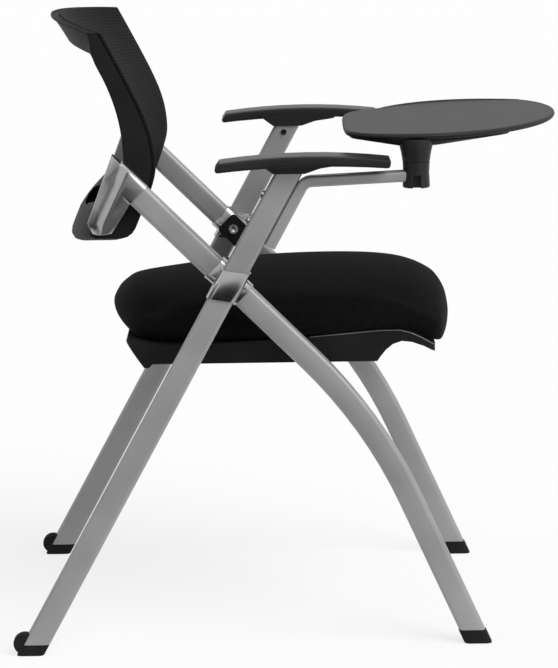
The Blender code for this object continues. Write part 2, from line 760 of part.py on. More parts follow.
def build_elbows():
    for label, side in SIDES.items():
        bm = loft([elbow_ring(side, *level) for level in ELBOW_LEVELS])
        everything = bm.verts[:] + bm.edges[:] + bm.faces[:]
        bmesh.ops.bisect_plane(
            bm, geom=everything, plane_co=(0, 0, ELBOW_TOP_LINE), plane_no=(1, 0, 1), clear_outer=True
        )
        bmesh.ops.holes_fill(bm, edges=bm.edges, sides=0)
        elbow = add_part(f"back_elbow_{label}", mesh_from(bm), "chrome", "front_frame")
        round_edges(elbow, 0.0012, 2, 30)
        y = side * INNER_Y
        sleeve, sleeve_ends = straight(
            (SOCKET_FROM_X, FOLD_Z - SOCKET_FROM_X), (SOCKET_TO_X, FOLD_Z - SOCKET_TO_X)
        )
        combine(elbow, sweep(sleeve, [box_section(SOCKET_WALL + GAP)], y, sleeve_ends), "UNION")
        end = Vector(BACK_TUBE_END) - UPPER_DOWN * GAP
        pocket, pocket_ends = straight(end, end + UPPER_DOWN * 0.06)
        combine(elbow, sweep(pocket, [box_section(GAP)], y, pocket_ends), "DIFFERENCE")


def rail_mesh(section, half_span, behind=0.0, lift=0.0):
    """A section carried along the bowed rail, square cut at both ends."""
    count = 14
    path = []
    for step in range(count + 1):
        y = half_span * (2 * step / count - 1)
        path.append((RAIL_MID_X + RAIL_BOW * (y / BACK_HALF_LOW) ** 2, y))
    bm = carried(path, [section], Matrix.Translation((0, 0, RAIL_MID_Z)))
    for vert in bm.verts:
        reach = abs(vert.co.y)
        if reach > half_span * (1 - 1 / count):
            vert.co.y = math.copysign(half_span, vert.co.y)
        tilt = vert.co.z - RAIL_MID_Z
        vert.co.x += RAIL_SHEAR * tilt - behind
        vert.co.z += RAIL_RISE * (vert.co.y / BACK_HALF_LOW) ** 2 + lift
    bmesh.ops.holes_fill(bm, edges=bm.edges, sides=0)
    return mesh_from(bm)


def build_cross_rail():
    section = rounded_box(RAIL_DEEP, RAIL_TALL, 0.013, 3)
    rail = add_part("back_cross_rail", rail_mesh(section, BACK_HALF_LOW), "black_plastic", "front_frame")
    slot = rounded_box(SLOT_WIDE, 2 * SLOT_DEEP, SLOT_WIDE / 2 - 0.001, 3)
    combine(rail, rail_mesh(slot, SLOT_LONG / 2, SLOT_BEHIND, RAIL_TALL / 2), "DIFFERENCE")
    seat_z = BACK_BOTTOM_Z - 2 * GAP
    for side in SIDES.values():
        inner, outer = sorted((side * 0.11, side * 0.25))
        combine(rail, box((-0.164, inner, seat_z), (-0.05, outer, seat_z + 0.05)), "DIFFERENCE")


ARM_TOP = ((-0.0090, 0.6425), (0.0850, 0.6498), (0.2062, 0.6440))
ARM_UNDER = ((0.2046, 0.6330), (0.0900, 0.6362), (-0.0180, 0.6291))
ARM_BOSS = (
    (0.0400, 0.6400, 0),
    (0.0445, 0.6352, 0.004),
    (0.0585, ARM_BOSS_Z, 0.004),
    (0.0985, ARM_BOSS_Z, 0.008),
    (0.1180, 0.6312, 0.025),
    (0.1450, 0.6350, 0.010),
    (0.1500, 0.6400, 0),
)


def build_armrests():
    corners = []
    for points in (arc_through(*ARM_TOP, 8), arc_through(*ARM_UNDER, 8)):
        corners += [(*point, 0) for point in points]
        corners[-1] = (*points[-1], ARM_CORNER)
        corners[-len(points)] = (*points[0], ARM_CORNER)
    outline = filleted(corners, 0)
    outline.reverse()
    for label, side in SIDES.items():
        pad = side_plate(outline, side * ARM_Y, 2 * ARM_HALF_WIDTH, ARM_ROUNDING)
        arm = add_part(f"armrest_{label}", pad, "black_plastic", "rear_frame")
        boss = side_plate(filleted(ARM_BOSS, 0.004, 3), side * OUTER_Y, 2 * ARM_BOSS_HALF)
        combine(arm, boss, "UNION")
        line = [rear_line(0.05), rear_line(0.25)]
        stem_cuts = level_cuts(ARM_BOSS_Z - STEM_LENGTH, ARM_BOSS_Z + 0.004)
        combine(arm, sweep(line, [STEM_SECTION], side * OUTER_Y, stem_cuts), "UNION")
        screw = rear_at(ARM_SCREW_Z)
        inside = OUTER_Y - TUBE_THICK / 2
        hole = rod(0.0024, (screw.x, side * 0.235, screw.y), (screw.x, side * OUTER_Y, screw.y), 12)
        combine(arm, hole, "DIFFERENCE")
        steps = [(0.0040, 0.0016), (0.0020, OUTER_Y - inside - 2 * GAP)]
        start = (screw.x, side * (inside - GAP - 0.0016), screw.y)
        screw_mesh = stepped_rod(steps, start, (0, side, 0), 12)
        add_part(f"arm_screw_{label}", screw_mesh, "black_plastic", "rear_frame")


def tablet_arm_path():
    """Up along the front of the right post, then level to the tablet's axis."""
    offset = TUBE_WIDE / 2 + TABLET_ARM_WIDE / 2 + GAP
    low = rear_line(TABLET_ARM_LOW, offset)
    corner = Vector((0.0981, 0.6137))
    level = Vector((math.cos(TABLET_ARM_RISE), math.sin(TABLET_ARM_RISE)))
    turn = REAR_ALONG.angle(level)
    tangent = TABLET_ARM_BEND * math.tan(turn / 2)
    start = corner - REAR_ALONG * tangent
    middle = start + REAR_ACROSS * TABLET_ARM_BEND
    steps = 6
    arc = [middle + Matrix.Rotation(-turn * step / steps, 2) @ (start - middle) for step in range(steps + 1)]
    end = corner + level * (TABLET_X - SPINDLE_RADIUS - 0.002 - corner.x) / level.x
    return [low, *arc, end], level


def tablet_arm_section(grow):
    return box_section(grow, TABLET_ARM_WIDE, TABLET_ARM_THICK, 0.004)


def build_tablet_arm():
    path, level = tablet_arm_path()
    shells = [tablet_arm_section(0), tablet_arm_section(-TABLET_ARM_WALL)]
    ends = [(path[0], -REAR_ALONG), (path[-1], level)]
    reach = [path[0] - REAR_ALONG * 0.01, *path[1:-1], path[-1] + level * 0.01]
    arm = add_part("tablet_arm", sweep(reach, shells, TABLET_Y, ends), "silver_paint", "rear_frame")
    post = bpy.data.objects["rear_leg_tube_R"]
    behind = -TUBE_WIDE / 2
    inside = TUBE_WIDE / 2 + TABLET_ARM_WIDE / 2
    for name, along in zip(("lower", "upper"), TABLET_BOLTS):
        start, end = rear_line(along, behind - 0.02), rear_line(along, inside)
        hole_ends = ((start.x, TABLET_Y, start.y), (end.x, TABLET_Y, end.y))
        for piece in (post, arm):
            combine(piece, rod(0.0033 + GAP, *hole_ends, 12), "DIFFERENCE")
        head = rear_line(along, behind - GAP - 0.0028)
        facing = (REAR_ACROSS.x, 0, REAR_ACROSS.y)
        shank = inside - behind - GAP
        steps = [(0.0045, 0.0010), (0.0058, 0.0018), (0.0033, shank)]
        bolt = stepped_rod(steps, (head.x, TABLET_Y, head.y), facing, 12)
        add_part(f"tablet_arm_bolt_{name}", bolt, "zinc_steel", "rear_frame")
    build_tablet_post(path[-1], level)


def build_tablet_post(arm_end, level):
    bore = SPINDLE_RADIUS + GAP
    centre = (TABLET_X, TABLET_Y, 0)
    top = BOARD_TOP_Z - BOARD_THICK - GAP
    seam_low = HUB_SEAM_Z - GAP
    socket_profile = [
        (bore, seam_low),
        (HUB_SEAM_RADIUS, seam_low),
        (HUB_LOW_RADIUS, 0.6240),
        (HUB_LOW_RADIUS + 0.0005, 0.6150),
        (HUB_LOW_RADIUS + 0.0008, HUB_LOW_Z + 0.001),
        (HUB_LOW_RADIUS, HUB_LOW_Z),
        (bore, HUB_LOW_Z),
    ]
    socket = add_part("tablet_socket", turned(socket_profile, centre), "black_plastic", "rear_frame")
    inner_end = arm_end + level * GAP
    pocket, pocket_ends = straight(inner_end - level * 0.04, inner_end)
    combine(socket, sweep(pocket, [tablet_arm_section(GAP)], TABLET_Y, pocket_ends), "DIFFERENCE")
    notch_low = (TABLET_X - 0.0048, TABLET_Y - 0.03, HUB_LOW_Z - 0.01)
    notch_high = (TABLET_X + 0.0048, TABLET_Y - 0.008, HUB_LOW_Z + 0.0165)
    combine(socket, box(notch_low, notch_high), "DIFFERENCE")
    hub_profile = [
        (bore, top),
        (HUB_TOP_RADIUS, top),
        (HUB_TOP_RADIUS, 0.6560),
        (0.0190, 0.6490),
        (HUB_SEAM_RADIUS, HUB_SEAM_Z),
        (bore, HUB_SEAM_Z),
    ]
    add_part("tablet_hub", turned(hub_profile, centre), "black_plastic", "tablet")
    spindle_low = (TABLET_X, TABLET_Y, HUB_LOW_Z + 0.0010)
    spindle_high = (TABLET_X, TABLET_Y, top - 0.0010)
    add_part("tablet_spindle", rod(SPINDLE_RADIUS, spindle_low, spindle_high, 20), "zinc_steel", "rear_frame")


# Plan outline of the tablet board, a smooth curve through these points; its straight side faces the sitter.
BOARD_PLAN = (
    (0.1500, -0.2050),
    (0.1580, -0.2380),
    (0.1860, -0.2620),
    (0.2350, -0.2700),
    (0.2830, -0.2620),
    (0.3320, -0.2350),
    (0.3760, -0.1880),
    (0.4110, -0.1250),
    (0.4310, -0.0500),
    (0.4325, 0.0150),
    (0.4200, 0.0660),
    (0.3960, 0.1000),
    (0.3620, 0.1125),
    (0.3160, 0.1030),
    (0.2600, 0.0690),
    (0.2050, 0.0250),
    (0.1680, -0.0080),
    (0.1520, -0.0480),
    (0.1490, -0.1250),
)
STIFFENER_PLAN = (
    (0.1560, -0.2060),
    (0.1640, -0.2350),
    (0.1900, -0.2560),
    (0.2350, -0.2635),
    (0.2820, -0.2555),
    (0.3280, -0.2310),
    (0.3560, -0.2010),
    (0.3590, -0.1780),
    (0.3450, -0.1300),
    (0.3000, -0.0800),
    (0.2300, -0.0600),
    (0.1720, -0.0850),
    (0.1560, -0.1400),
)
STIFFENER_RIM = 0.0022
STIFFENER_CORE = 0.30


def smooth_outline(points, steps):
    """A closed curve through the points, with the same number of steps between each pair."""
    places = [Vector(point) for point in points]
    count = len(places)
    outline = []
    for i in range(count):
        before, here, ahead, beyond = (places[(i + offset) % count] for offset in (-1, 0, 1, 2))
        for step in range(steps):
            t = step / steps
            bend = 2 * before - 5 * here + 4 * ahead - beyond
            twist = 3 * here - before - 3 * ahead + beyond
            outline.append(here + ((ahead - before) * t + bend * t ** 2 + twist * t ** 3) / 2)
    return outline


def build_tablet():
    low = BOARD_TOP_Z - BOARD_THICK
    board_mesh = plan_plate(smooth_outline(BOARD_PLAN, 4), low, BOARD_TOP_Z, BOARD_ROUNDING)
    board = add_part("tablet_board", board_mesh, "tablet_plastic", "tablet")
    combine(board, pen_lip(), "UNION")
    rim = smooth_outline(STIFFENER_PLAN, 3)
    hub = Vector((TABLET_X, TABLET_Y))
    core = [hub + (point - hub) * STIFFENER_CORE for point in rim]
    top = low - GAP
    levels = ((rim, top), (rim, top - STIFFENER_RIM), (core, top - STIFFENER_THICK))
    dish = mesh_from(loft([[(point.x, point.y, z) for point in ring] for ring, z in levels]))
    stiffener = add_part("tablet_stiffener", dish, "black_plastic", "tablet")
    hub_ends = ((*hub, low - 0.03), (*hub, low + 0.03))
    combine(stiffener, rod(HUB_TOP_RADIUS + GAP, *hub_ends, 32), "DIFFERENCE")


def pen_lip():
    """A low ridge just inside the board's far edge, which dies away at both ends."""
    ends = ((0.2050, 0.0190), (0.3000, 0.0890), (0.3960, 0.0930))
    points = arc_through(*ends, 12)
    curve = bpy.data.curves.new("lip", "CURVE")
    curve.dimensions = "3D"
    curve.bevel_depth = 1.0
    curve.bevel_resolution = 2
    curve.use_fill_caps = True
    spline = curve.splines.new("POLY")
    spline.points.add(len(points) - 1)
    for index, (point, place) in enumerate(zip(spline.points, points)):
        swell = math.sin(math.pi * (index + 0.5) / len(points))
        point.co = (place.x, place.y, BOARD_TOP_Z - 0.0008, 1)
        point.radius = 0.0012 + (LIP_HEIGHT - 0.0004) * swell
    return mesh_from(curve_mesh(curve, Matrix.Identity(4)))


# Seam where the cushion meets the pan's rim, in the side view from rear to front. Behind its second point
# the cushion overhangs the pan.
SEAM = (
    (-0.1580, 0.4330),
    (-0.1345, 0.3990),
    (-0.1000, 0.3945),
    (-0.0650, 0.3935),
    (0.0260, 0.3990),
    (0.1030, 0.4030),
    (0.1930, 0.4105),
    (0.2190, 0.4105),
    (0.2320, 0.4072),
    (0.2436, 0.4023),
    (0.2551, 0.3958),
    (0.2645, 0.3900),
)
PAN_UNDERSIDE = (
    (0.2645, 0.3815),
    (0.2500, 0.3893),
    (0.2344, 0.3948),
    (0.2215, 0.3963),
    (0.2099, 0.3925),
    (0.2008, 0.3850),
    (0.1943, 0.3770),
    (0.1895, PAN_LOW_Z),
    (-0.1010, PAN_LOW_Z),
    (-0.1060, 0.3650),
    (-0.1120, 0.3652),
    (-0.1360, 0.3965),
)
PAN_HOLLOW = (
    (0.1830, 0.3500),
    (0.1830, 0.4065),
    (0.1030, 0.3998),
    (0.0260, 0.3958),
    (-0.0650, 0.3906),
    (-0.1070, 0.3910),
    (-0.1030, 0.3500),
)
SEAT_PLAN = (
    (-0.1365, -1.0, 0.032),
    (0.2650, -1.0, 0.010),
    (0.2650, 1.0, 0.010),
    (-0.1365, 1.0, 0.032),
)


def seam_z(x):
    for (x0, z0), (x1, z1) in zip(SEAM, SEAM[1:]):
        if x <= x1:
            return z0 + (z1 - z0) * (x - x0) / (x1 - x0)
    return SEAM[-1][1]


def seat_plan(half, shrink=0.0):
    corners = []
    for x, y, radius in SEAT_PLAN:
        inward = shrink if x < 0 else -shrink
        corners.append((x + inward, y * (half - shrink), radius - shrink / 2))
    return filleted(corners, 0.05, 6)


def build_pan():
    shell = side_plate(SEAM[1:] + PAN_UNDERSIDE, 0, 3 * PAN_HALF)
    pan = add_part("seat_pan", shell, "black_plastic", "seat")
    combine(pan, plan_plate(seat_plan(PAN_HALF), 0.30, 0.50), "INTERSECT")
    hollow = combine(pan, side_plate(PAN_HOLLOW, 0, 3 * PAN_HALF), "DIFFERENCE")
    combine(hollow, plan_plate(seat_plan(PAN_HALF, PAN_WALL), 0.30, 0.50), "INTERSECT")
    rear_notch = filleted(
        [
            (REAR_BAR[0] - BAR_RADIUS - 0.001, 0.350, 0.001),
            (REAR_BAR[0] + BAR_RADIUS + 0.001, 0.350, 0.001),
            (REAR_BAR[0] + BAR_RADIUS + 0.001, BAR_Z + BAR_RADIUS + 0.001, BAR_RADIUS),
            (REAR_BAR[0] - BAR_RADIUS - 0.001, BAR_Z + BAR_RADIUS + 0.001, BAR_RADIUS),
        ],
        0.002,
    )
    combine(pan, side_plate(rear_notch, 0, 3 * PAN_HALF), "DIFFERENCE")
    front_notch = filleted(
        [
            (FRONT_BAR[0] - 0.0270, 0.350, 0.001),
            (FRONT_BAR[0] + BAR_RADIUS + 0.001, 0.350, 0.001),
            (FRONT_BAR[0] + BAR_RADIUS + 0.001, BAR_Z + BAR_RADIUS + 0.001, BAR_RADIUS),
            (FRONT_BAR[0] - BAR_RADIUS - 0.005, BAR_Z + BAR_RADIUS + 0.001, BAR_RADIUS),
        ],
        0.002,
    )
    combine(pan, side_plate(front_notch, 0, 3 * PAN_HALF), "DIFFERENCE")


def build_seat_supports():
    saddle_half = 0.020
    top = seam_z(REAR_BAR[0]) - PAN_WALL - GAP - 0.0004
    outer = BAR_RADIUS + 0.0045
    bore = BAR_RADIUS + GAP
    for label, side in SIDES.items():
        y = side * 0.120
        block = [
            (REAR_BAR[0] - 0.020, top, 0.0008),
            (REAR_BAR[0] - 0.020, BAR_Z + 0.0065, 0.001),
            (REAR_BAR[0] - outer, BAR_Z + 0.0040, 0.002),
            (REAR_BAR[0] - outer, BAR_Z - outer, 0.006),
            (REAR_BAR[0] + outer, BAR_Z - outer, 0.006),
            (REAR_BAR[0] + outer, BAR_Z + 0.0040, 0.002),
            (REAR_BAR[0] + 0.020, BAR_Z + 0.0065, 0.001),
            (REAR_BAR[0] + 0.020, top, 0.0008),
        ]
        saddle_mesh = side_plate(filleted(block, 0.002, 3), y, 2 * saddle_half)
        saddle = add_part(f"seat_hinge_saddle_{label}", saddle_mesh, "nylon", "seat")
        bar_hole = rod(bore, (REAR_BAR[0], y - 0.05, BAR_Z), (REAR_BAR[0], y + 0.05, BAR_Z), 20)
        combine(saddle, bar_hole, "DIFFERENCE")
        pad_top = seam_z(FRONT_BAR[0]) - PAN_WALL - GAP - 0.0008
        pad_low = BAR_Z + BAR_RADIUS + GAP
        pad = box((FRONT_BAR[0] - 0.010, y - 0.015, pad_low), (FRONT_BAR[0] + 0.010, y + 0.015, pad_top))
        round_edges(add_part(f"seat_bumper_{label}", pad, "rubber", "seat"), 0.002, 2)


def build_cushion():
    board_outline = []
    xs = (-0.105, -0.065, 0.026, 0.103, 0.170)
    board_outline += [(x, seam_z(x) + GAP + 0.0004) for x in xs]
    board_outline += [(x, seam_z(x) + GAP + 0.0004 + SEAT_BOARD_THICK) for x in reversed(xs)]
    add_part("seat_board", side_plate(board_outline, 0, 0.300), "plywood", "seat")

    bm = bmesh.new()
    bmesh.ops.create_cube(bm, size=2)
    bmesh.ops.subdivide_edges(bm, edges=bm.edges, cuts=5, use_grid_fill=True)
    spread = {0: 0.0, 1: 0.45, 2: 0.84, 3: 1.0}
    mid_x = (SEAT_REAR_X + SEAT_FRONT_X) / 2
    half_long = (SEAT_FRONT_X - SEAT_REAR_X) / 2
    for vert in bm.verts:
        u, v, w = (math.copysign(spread[round(abs(value) * 3)], value) for value in vert.co)
        edge = max(abs(u), abs(v))
        tuck, corner = (0.12, 0.30) if u < 0 else (0.08, 0.16)
        pull = 1.0 - tuck * max(w, 0) ** 3 * edge - 0.012 * max(-w, 0) ** 2 * edge
        x = mid_x + half_long * u * math.sqrt(1 - corner * v * v) * pull
        y = SEAT_HALF * v * math.sqrt(1 - corner * u * u) * pull
        over_hump = 0.0037 if 0 < u < 1 else 0
        floor = seam_z(max(x, SEAM[0][0])) + 0.0022 + over_hump
        if w == -1 and edge < 1:
            floor += SEAT_BOARD_THICK + 0.0030
        dome = CROWN_HEIGHT * (1 - 0.33 * abs(v) ** 2.4) * (1 - (0.10 if u > 0 else 0.36) * u ** 4)
        top = min(floor, 0.4050) + dome
        vert.co = (x, y, floor + (top - floor) * (w + 1) / 2)
    cushion = add_part("seat_cushion", mesh_from(bm), "seat_fabric", "seat")
    smooth = cushion.modifiers.new("soft", "SUBSURF")
    smooth.levels = 1
    smooth.render_levels = 1


build_front_tubes()
build_rear_tubes()
build_crossbars()
build_fold_joint()
build_back()
build_elbows()
build_cross_rail()
build_armrests()
build_tablet_arm()
build_tablet()
build_pan()
build_seat_supports()
build_cushion()
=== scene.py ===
"""The looks of a folding desk chair with a swivelling writing tablet, around its CAD frame.

Lengths are in metres. +X is the way the sitter faces, +Y the sitter's left and +Z up, with the
floor at z = 0.
"""

import json
import math

import bmesh
import bpy
from mathutils import Matrix, Vector


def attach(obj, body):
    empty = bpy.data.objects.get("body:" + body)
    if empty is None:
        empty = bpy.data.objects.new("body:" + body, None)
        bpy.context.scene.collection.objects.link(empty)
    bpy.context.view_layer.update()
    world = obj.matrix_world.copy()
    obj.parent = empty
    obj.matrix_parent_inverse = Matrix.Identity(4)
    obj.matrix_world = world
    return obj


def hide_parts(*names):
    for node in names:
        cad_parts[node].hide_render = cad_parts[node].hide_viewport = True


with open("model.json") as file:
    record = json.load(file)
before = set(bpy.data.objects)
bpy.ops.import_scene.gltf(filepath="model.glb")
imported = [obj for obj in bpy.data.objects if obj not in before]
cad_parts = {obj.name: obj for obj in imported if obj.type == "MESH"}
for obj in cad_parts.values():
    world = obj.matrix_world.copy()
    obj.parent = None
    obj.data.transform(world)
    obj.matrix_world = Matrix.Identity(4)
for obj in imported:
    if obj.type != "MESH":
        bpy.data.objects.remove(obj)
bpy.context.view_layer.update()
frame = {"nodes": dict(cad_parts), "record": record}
NODES = frame["nodes"]
BODY_OF = {
    node: body
    for body, members in frame["record"]["behaviour"]["bodies"].items()
    for node in members
}
SCENE = bpy.context.scene
SCENE.view_settings.view_transform = "Standard"

MM = 0.001
FOLD_X = -0.0735
SIDES = ("R", "L")


def linked(name, data):
    """A new object in the scene, at the origin."""
    ob = bpy.data.objects.new(name, data)
    SCENE.collection.objects.link(ob)
    return ob


def mesh_from(bm, name):
    """A mesh from a bmesh, which is freed."""
    mesh = bpy.data.meshes.new(name)
    bm.to_mesh(mesh)
    bm.free()
    return mesh


def clamped(value):
    """The value kept between 0 and 1."""
    return min(max(value, 0), 1)


def smooth_step(value):
    """A rise from 0 to 1 that starts and ends level."""
    value = clamped(value)
    return value * value * (3 - 2 * value)


# Camera: the photograph's own eye point, 3.9 m from the chair's middle, with a long lens

IMAGE_TALL = 668
FOCAL_PIXELS = 2943.8
SENSOR_MM = 36
EYE = Vector((-0.0068, -3.9241, 1.1287))
EYE_YAW, EYE_PITCH, EYE_ROLL = -0.0010, 0.1910, -0.0146


def place_camera():
    """Sets the camera where the photograph was taken from."""
    data = bpy.data.cameras.new("photo_camera")
    data.sensor_width = SENSOR_MM
    data.lens = FOCAL_PIXELS / IMAGE_TALL * SENSOR_MM
    camera = linked("photo_camera", data)
    level = math.cos(EYE_PITCH)
    ahead = Vector((math.sin(EYE_YAW) * level, math.cos(EYE_YAW) * level, -math.sin(EYE_PITCH)))
    right = Vector((math.cos(EYE_YAW), -math.sin(EYE_YAW), 0))
    axes = Matrix((right, right.cross(ahead), -ahead)).transposed()
    turn = axes.to_4x4() @ Matrix.Rotation(EYE_ROLL, 4, "Z")
    camera.matrix_world = Matrix.Translation(EYE) @ turn
    SCENE.camera = camera


place_camera()


# Finishes

def hex_colour(text):
    """An sRGB hex value as linear red, green, blue and alpha."""
    channels = [int(text[i:i + 2], 16) / 255 for i in (1, 3, 5)]
    linear = [c / 12.92 if c <= 0.04045 else ((c + 0.055) / 1.055) ** 2.4 for c in channels]
    return (*linear, 1.0)


def add_node(tree, kind, settings=None, inputs=None, stops=None):
    """Adds a node with its settings. An input is a plain value, or another node's socket to link."""
    node = tree.nodes.new(kind)
    for name, value in (settings or {}).items():
        setattr(node, name, value)
    for name, value in (inputs or {}).items():
        if isinstance(value, bpy.types.NodeSocket):
            tree.links.new(value, node.inputs[name])
        else:
            node.inputs[name].default_value = value
    if stops:
        ramp = node.color_ramp.elements
        while len(ramp) < len(stops):
            ramp.new(1.0)
        for element, (position, colour) in zip(ramp, stops):
            element.position = position
            element.color = hex_colour(colour)
    return node


def new_finish(name, **values):
    """A material with its shader set, and the tree to add its pattern to."""
    material = bpy.data.materials.new(name)
    material.use_nodes = True
    shader = material.node_tree.nodes["Principled BSDF"]
    for socket, value in values.items():
        shader.inputs[socket.replace("_", " ").title().replace("Ior", "IOR")].default_value = value
    return material, material.node_tree, shader


def per_mm(size):
    """The texture scale at which one noise cell or wave spans this many millimetres."""
    return 1 / (size * MM)


def object_place(tree):
    """Where a point lies on its piece, in metres."""
    return add_node(tree, "ShaderNodeTexCoord").outputs["Object"]


def speckle(tree, size_mm, detail):
    """Noise from 0 to 1 whose cells span this many millimetres."""
    inputs = {"Vector": object_place(tree), "Scale": per_mm(size_mm), "Detail": detail}
    return add_node(tree, "ShaderNodeTexNoise", inputs=inputs).outputs[0]


def blended(tree, pattern, share, other):
    """A share of one pattern added to another."""
    inputs = {0: pattern, 1: share, 2: other}
    return add_node(tree, "ShaderNodeMath", {"operation": "MULTIPLY_ADD"}, inputs).outputs[0]


def tinted(tree, pattern, *stops):
    """Colours that follow a pattern, as hex values at given levels."""
    ramp = add_node(tree, "ShaderNodeValToRGB", inputs={"Fac": pattern}, stops=stops)
    return ramp.outputs["Color"]


def roughened(tree, pattern, least, most):
    """A roughness that follows a pattern."""
    inputs = {"Value": pattern, "To Min": least, "To Max": most}
    return add_node(tree, "ShaderNodeMapRange", inputs=inputs).outputs["Result"]


def embossed(tree, pattern, strength, deep_mm):
    """Fine relief that follows a pattern."""
    inputs = {"Strength": strength, "Distance": deep_mm * MM, "Height": pattern}
    return add_node(tree, "ShaderNodeBump", inputs=inputs).outputs["Normal"]


def drive(tree, shader, colour, roughness=None, normal=None):
    """Links a finish's patterns to its shader."""
    for socket, source in (("Base Color", colour), ("Roughness", roughness), ("Normal", normal)):
        if source is not None:
            tree.links.new(source, shader.inputs[socket])


def silver_coat():
    """Powder-coated steel: satin silver grey, with fine metal flake and a faint orange peel."""
    material, tree, shader = new_finish("powder_coated_steel_silver", metallic=0.30,
                                        specular_ior_level=0.3)
    # Flake of about 0.2 mm is drawn at 0.9 mm so that it shows in the render.
    flake = speckle(tree, 0.9, detail=2.0)
    drift = speckle(tree, 70, detail=1.0)
    tone = blended(tree, flake, 0.5, drift)
    peel = speckle(tree, 1.8, detail=2.0)
    drive(tree, shader,
          colour=tinted(tree, tone, (0.45, "#8d8d8e"), (1.05, "#9b9b9b")),
          roughness=roughened(tree, flake, 0.36, 0.50),
          normal=embossed(tree, peel, 0.10, deep_mm=0.3))
    return material


def chrome_plate():
    """Chrome-plated zinc casting: a mirror softened by polishing haze and fingerprints."""
    material, tree, shader = new_finish("chrome_plated_zinc", metallic=1.0)
    haze = speckle(tree, 14, detail=5.0)
    ripple = speckle(tree, 6, detail=2.0)
    drive(tree, shader,
          colour=tinted(tree, haze, (0.30, "#a2a2a4"), (0.70, "#a9a9ab")),
          roughness=roughened(tree, haze, 0.22, 0.28),
          normal=embossed(tree, ripple, 0.02, deep_mm=0.2))
    return material


def moulded_plastic(name, dark, light, grain_mm, rough, depth, gloss_level, edge=None):
    """Moulded plastic with a spark-eroded grain: many tiny pits that break up its gloss.

    With an edge colour, the level top is painted paler than the edge and the underside, as painted
    light on the top and painted shade below it, as far as the piece's own painted-light attribute
    says.
    """
    material, tree, shader = new_finish(name, ior=1.49, specular_ior_level=gloss_level)
    grain = speckle(tree, grain_mm, detail=3.0)
    tone_share = speckle(tree, 45, detail=4.0)
    colour = tinted(tree, blended(tree, grain, 0.6, tone_share), (0.5, dark), (1.1, light))
    if edge:
        # The paler top is painted light, and the edge colour is painted shade.
        lit_top = add_node(tree, "ShaderNodeAttribute", {"attribute_name": "painted_top_light"})
        # A colour mix has its share on input 0, its colours on 6 and 7, and its result on output 2
        inputs = {0: lit_top.outputs["Fac"], 6: hex_colour(edge), 7: colour}
        colour = add_node(tree, "ShaderNodeMix", {"data_type": "RGBA"}, inputs).outputs[2]
    drive(tree, shader, colour,
          roughness=roughened(tree, tone_share, rough - 0.05, rough + 0.05),
          normal=embossed(tree, grain, depth, deep_mm=0.25))
    return material


def seat_cloth():
    """Woven polyester, piece-dyed black: crossed yarns with a dry sheen and a little lint."""
    material, tree, shader = new_finish("polyester_weave_black", roughness=0.92, sheen_weight=0.02,
                                        sheen_roughness=0.5, specular_ior_level=0.05)
    # Yarns of about 0.5 mm are drawn 1.5 mm apart so that the weave shows in the render.
    # A wave texture's bands lie tau / 20 apart at scale 1.
    yarn = {"Vector": object_place(tree), "Scale": per_mm(1.5) / 20 * math.tau,
            "Distortion": 1.2, "Detail": 2.0, "Detail Scale": 3.0}
    warp, weft = (
        add_node(tree, "ShaderNodeTexWave", {"bands_direction": direction}, yarn).outputs["Fac"]
        for direction in ("X", "Y")
    )
    weave = add_node(tree, "ShaderNodeMath", {"operation": "MULTIPLY"}, {0: warp, 1: weft})
    lint = speckle(tree, 9, detail=6.0)
    surface = blended(tree, weave.outputs[0], 0.5, lint)
    drive(tree, shader,
          colour=tinted(tree, surface, (0.35, "#080808"), (1.0, "#121212")),
          normal=embossed(tree, surface, 0.30, deep_mm=0.4))
    return material


def spacer_mesh():
    """Knitted spacer mesh: rows of small round holes between dull black threads, the holes painted
    darker as the shade inside them.
    """
    material, tree, shader = new_finish("spacer_mesh_black", roughness=0.80, sheen_weight=0.02,
                                        sheen_roughness=0.4, specular_ior_level=0.1)
    cloth = add_node(tree, "ShaderNodeUVMap", {"uv_map": "cloth_mm"}).outputs["UV"]
    # Holes 1.5 mm apart are drawn 4 mm apart so that they show in the render.
    rows = add_node(tree, "ShaderNodeMapping", inputs={"Vector": cloth, "Scale": (1 / 4,) * 3})
    holes = add_node(tree, "ShaderNodeTexVoronoi", {"voronoi_dimensions": "2D"},
                     {"Vector": rows.outputs[0], "Scale": 1.0, "Randomness": 0.0})
    thread = holes.outputs["Distance"]
    # Darkest in the middle of each hole: painted shade inside the holes.
    drive(tree, shader,
          colour=tinted(tree, thread, (0.28, "#0b0b0b"), (0.38, "#151516"), (0.55, "#1e1e1f")),
          normal=embossed(tree, thread, 0.4, deep_mm=0.5))
    return material


def turned_steel(name, dark, light):
    """Turned steel, plated or oil-blackened: fine tool marks with a dull lustre."""
    material, tree, shader = new_finish(name, metallic=1.0)
    spangle = speckle(tree, 1.2, detail=4.0)
    drive(tree, shader,
          colour=tinted(tree, spangle, (0.3, dark), (0.7, light)),
          roughness=roughened(tree, spangle, 0.25, 0.42))
    return material


def birch_ply():
    """Birch plywood: straw-coloured veneers with long grain along the chair's depth."""
    material, tree, shader = new_finish("birch_plywood", roughness=0.65)
    stretched = add_node(tree, "ShaderNodeMapping",
                         inputs={"Vector": object_place(tree), "Scale": (12, 160, 700)})
    grain = add_node(tree, "ShaderNodeTexNoise",
                     inputs={"Vector": stretched.outputs[0], "Scale": 1.0, "Detail": 4.0})
    drive(tree, shader, tinted(tree, grain.outputs[0], (0.3, "#a98056"), (0.7, "#cfae82")))
    return material


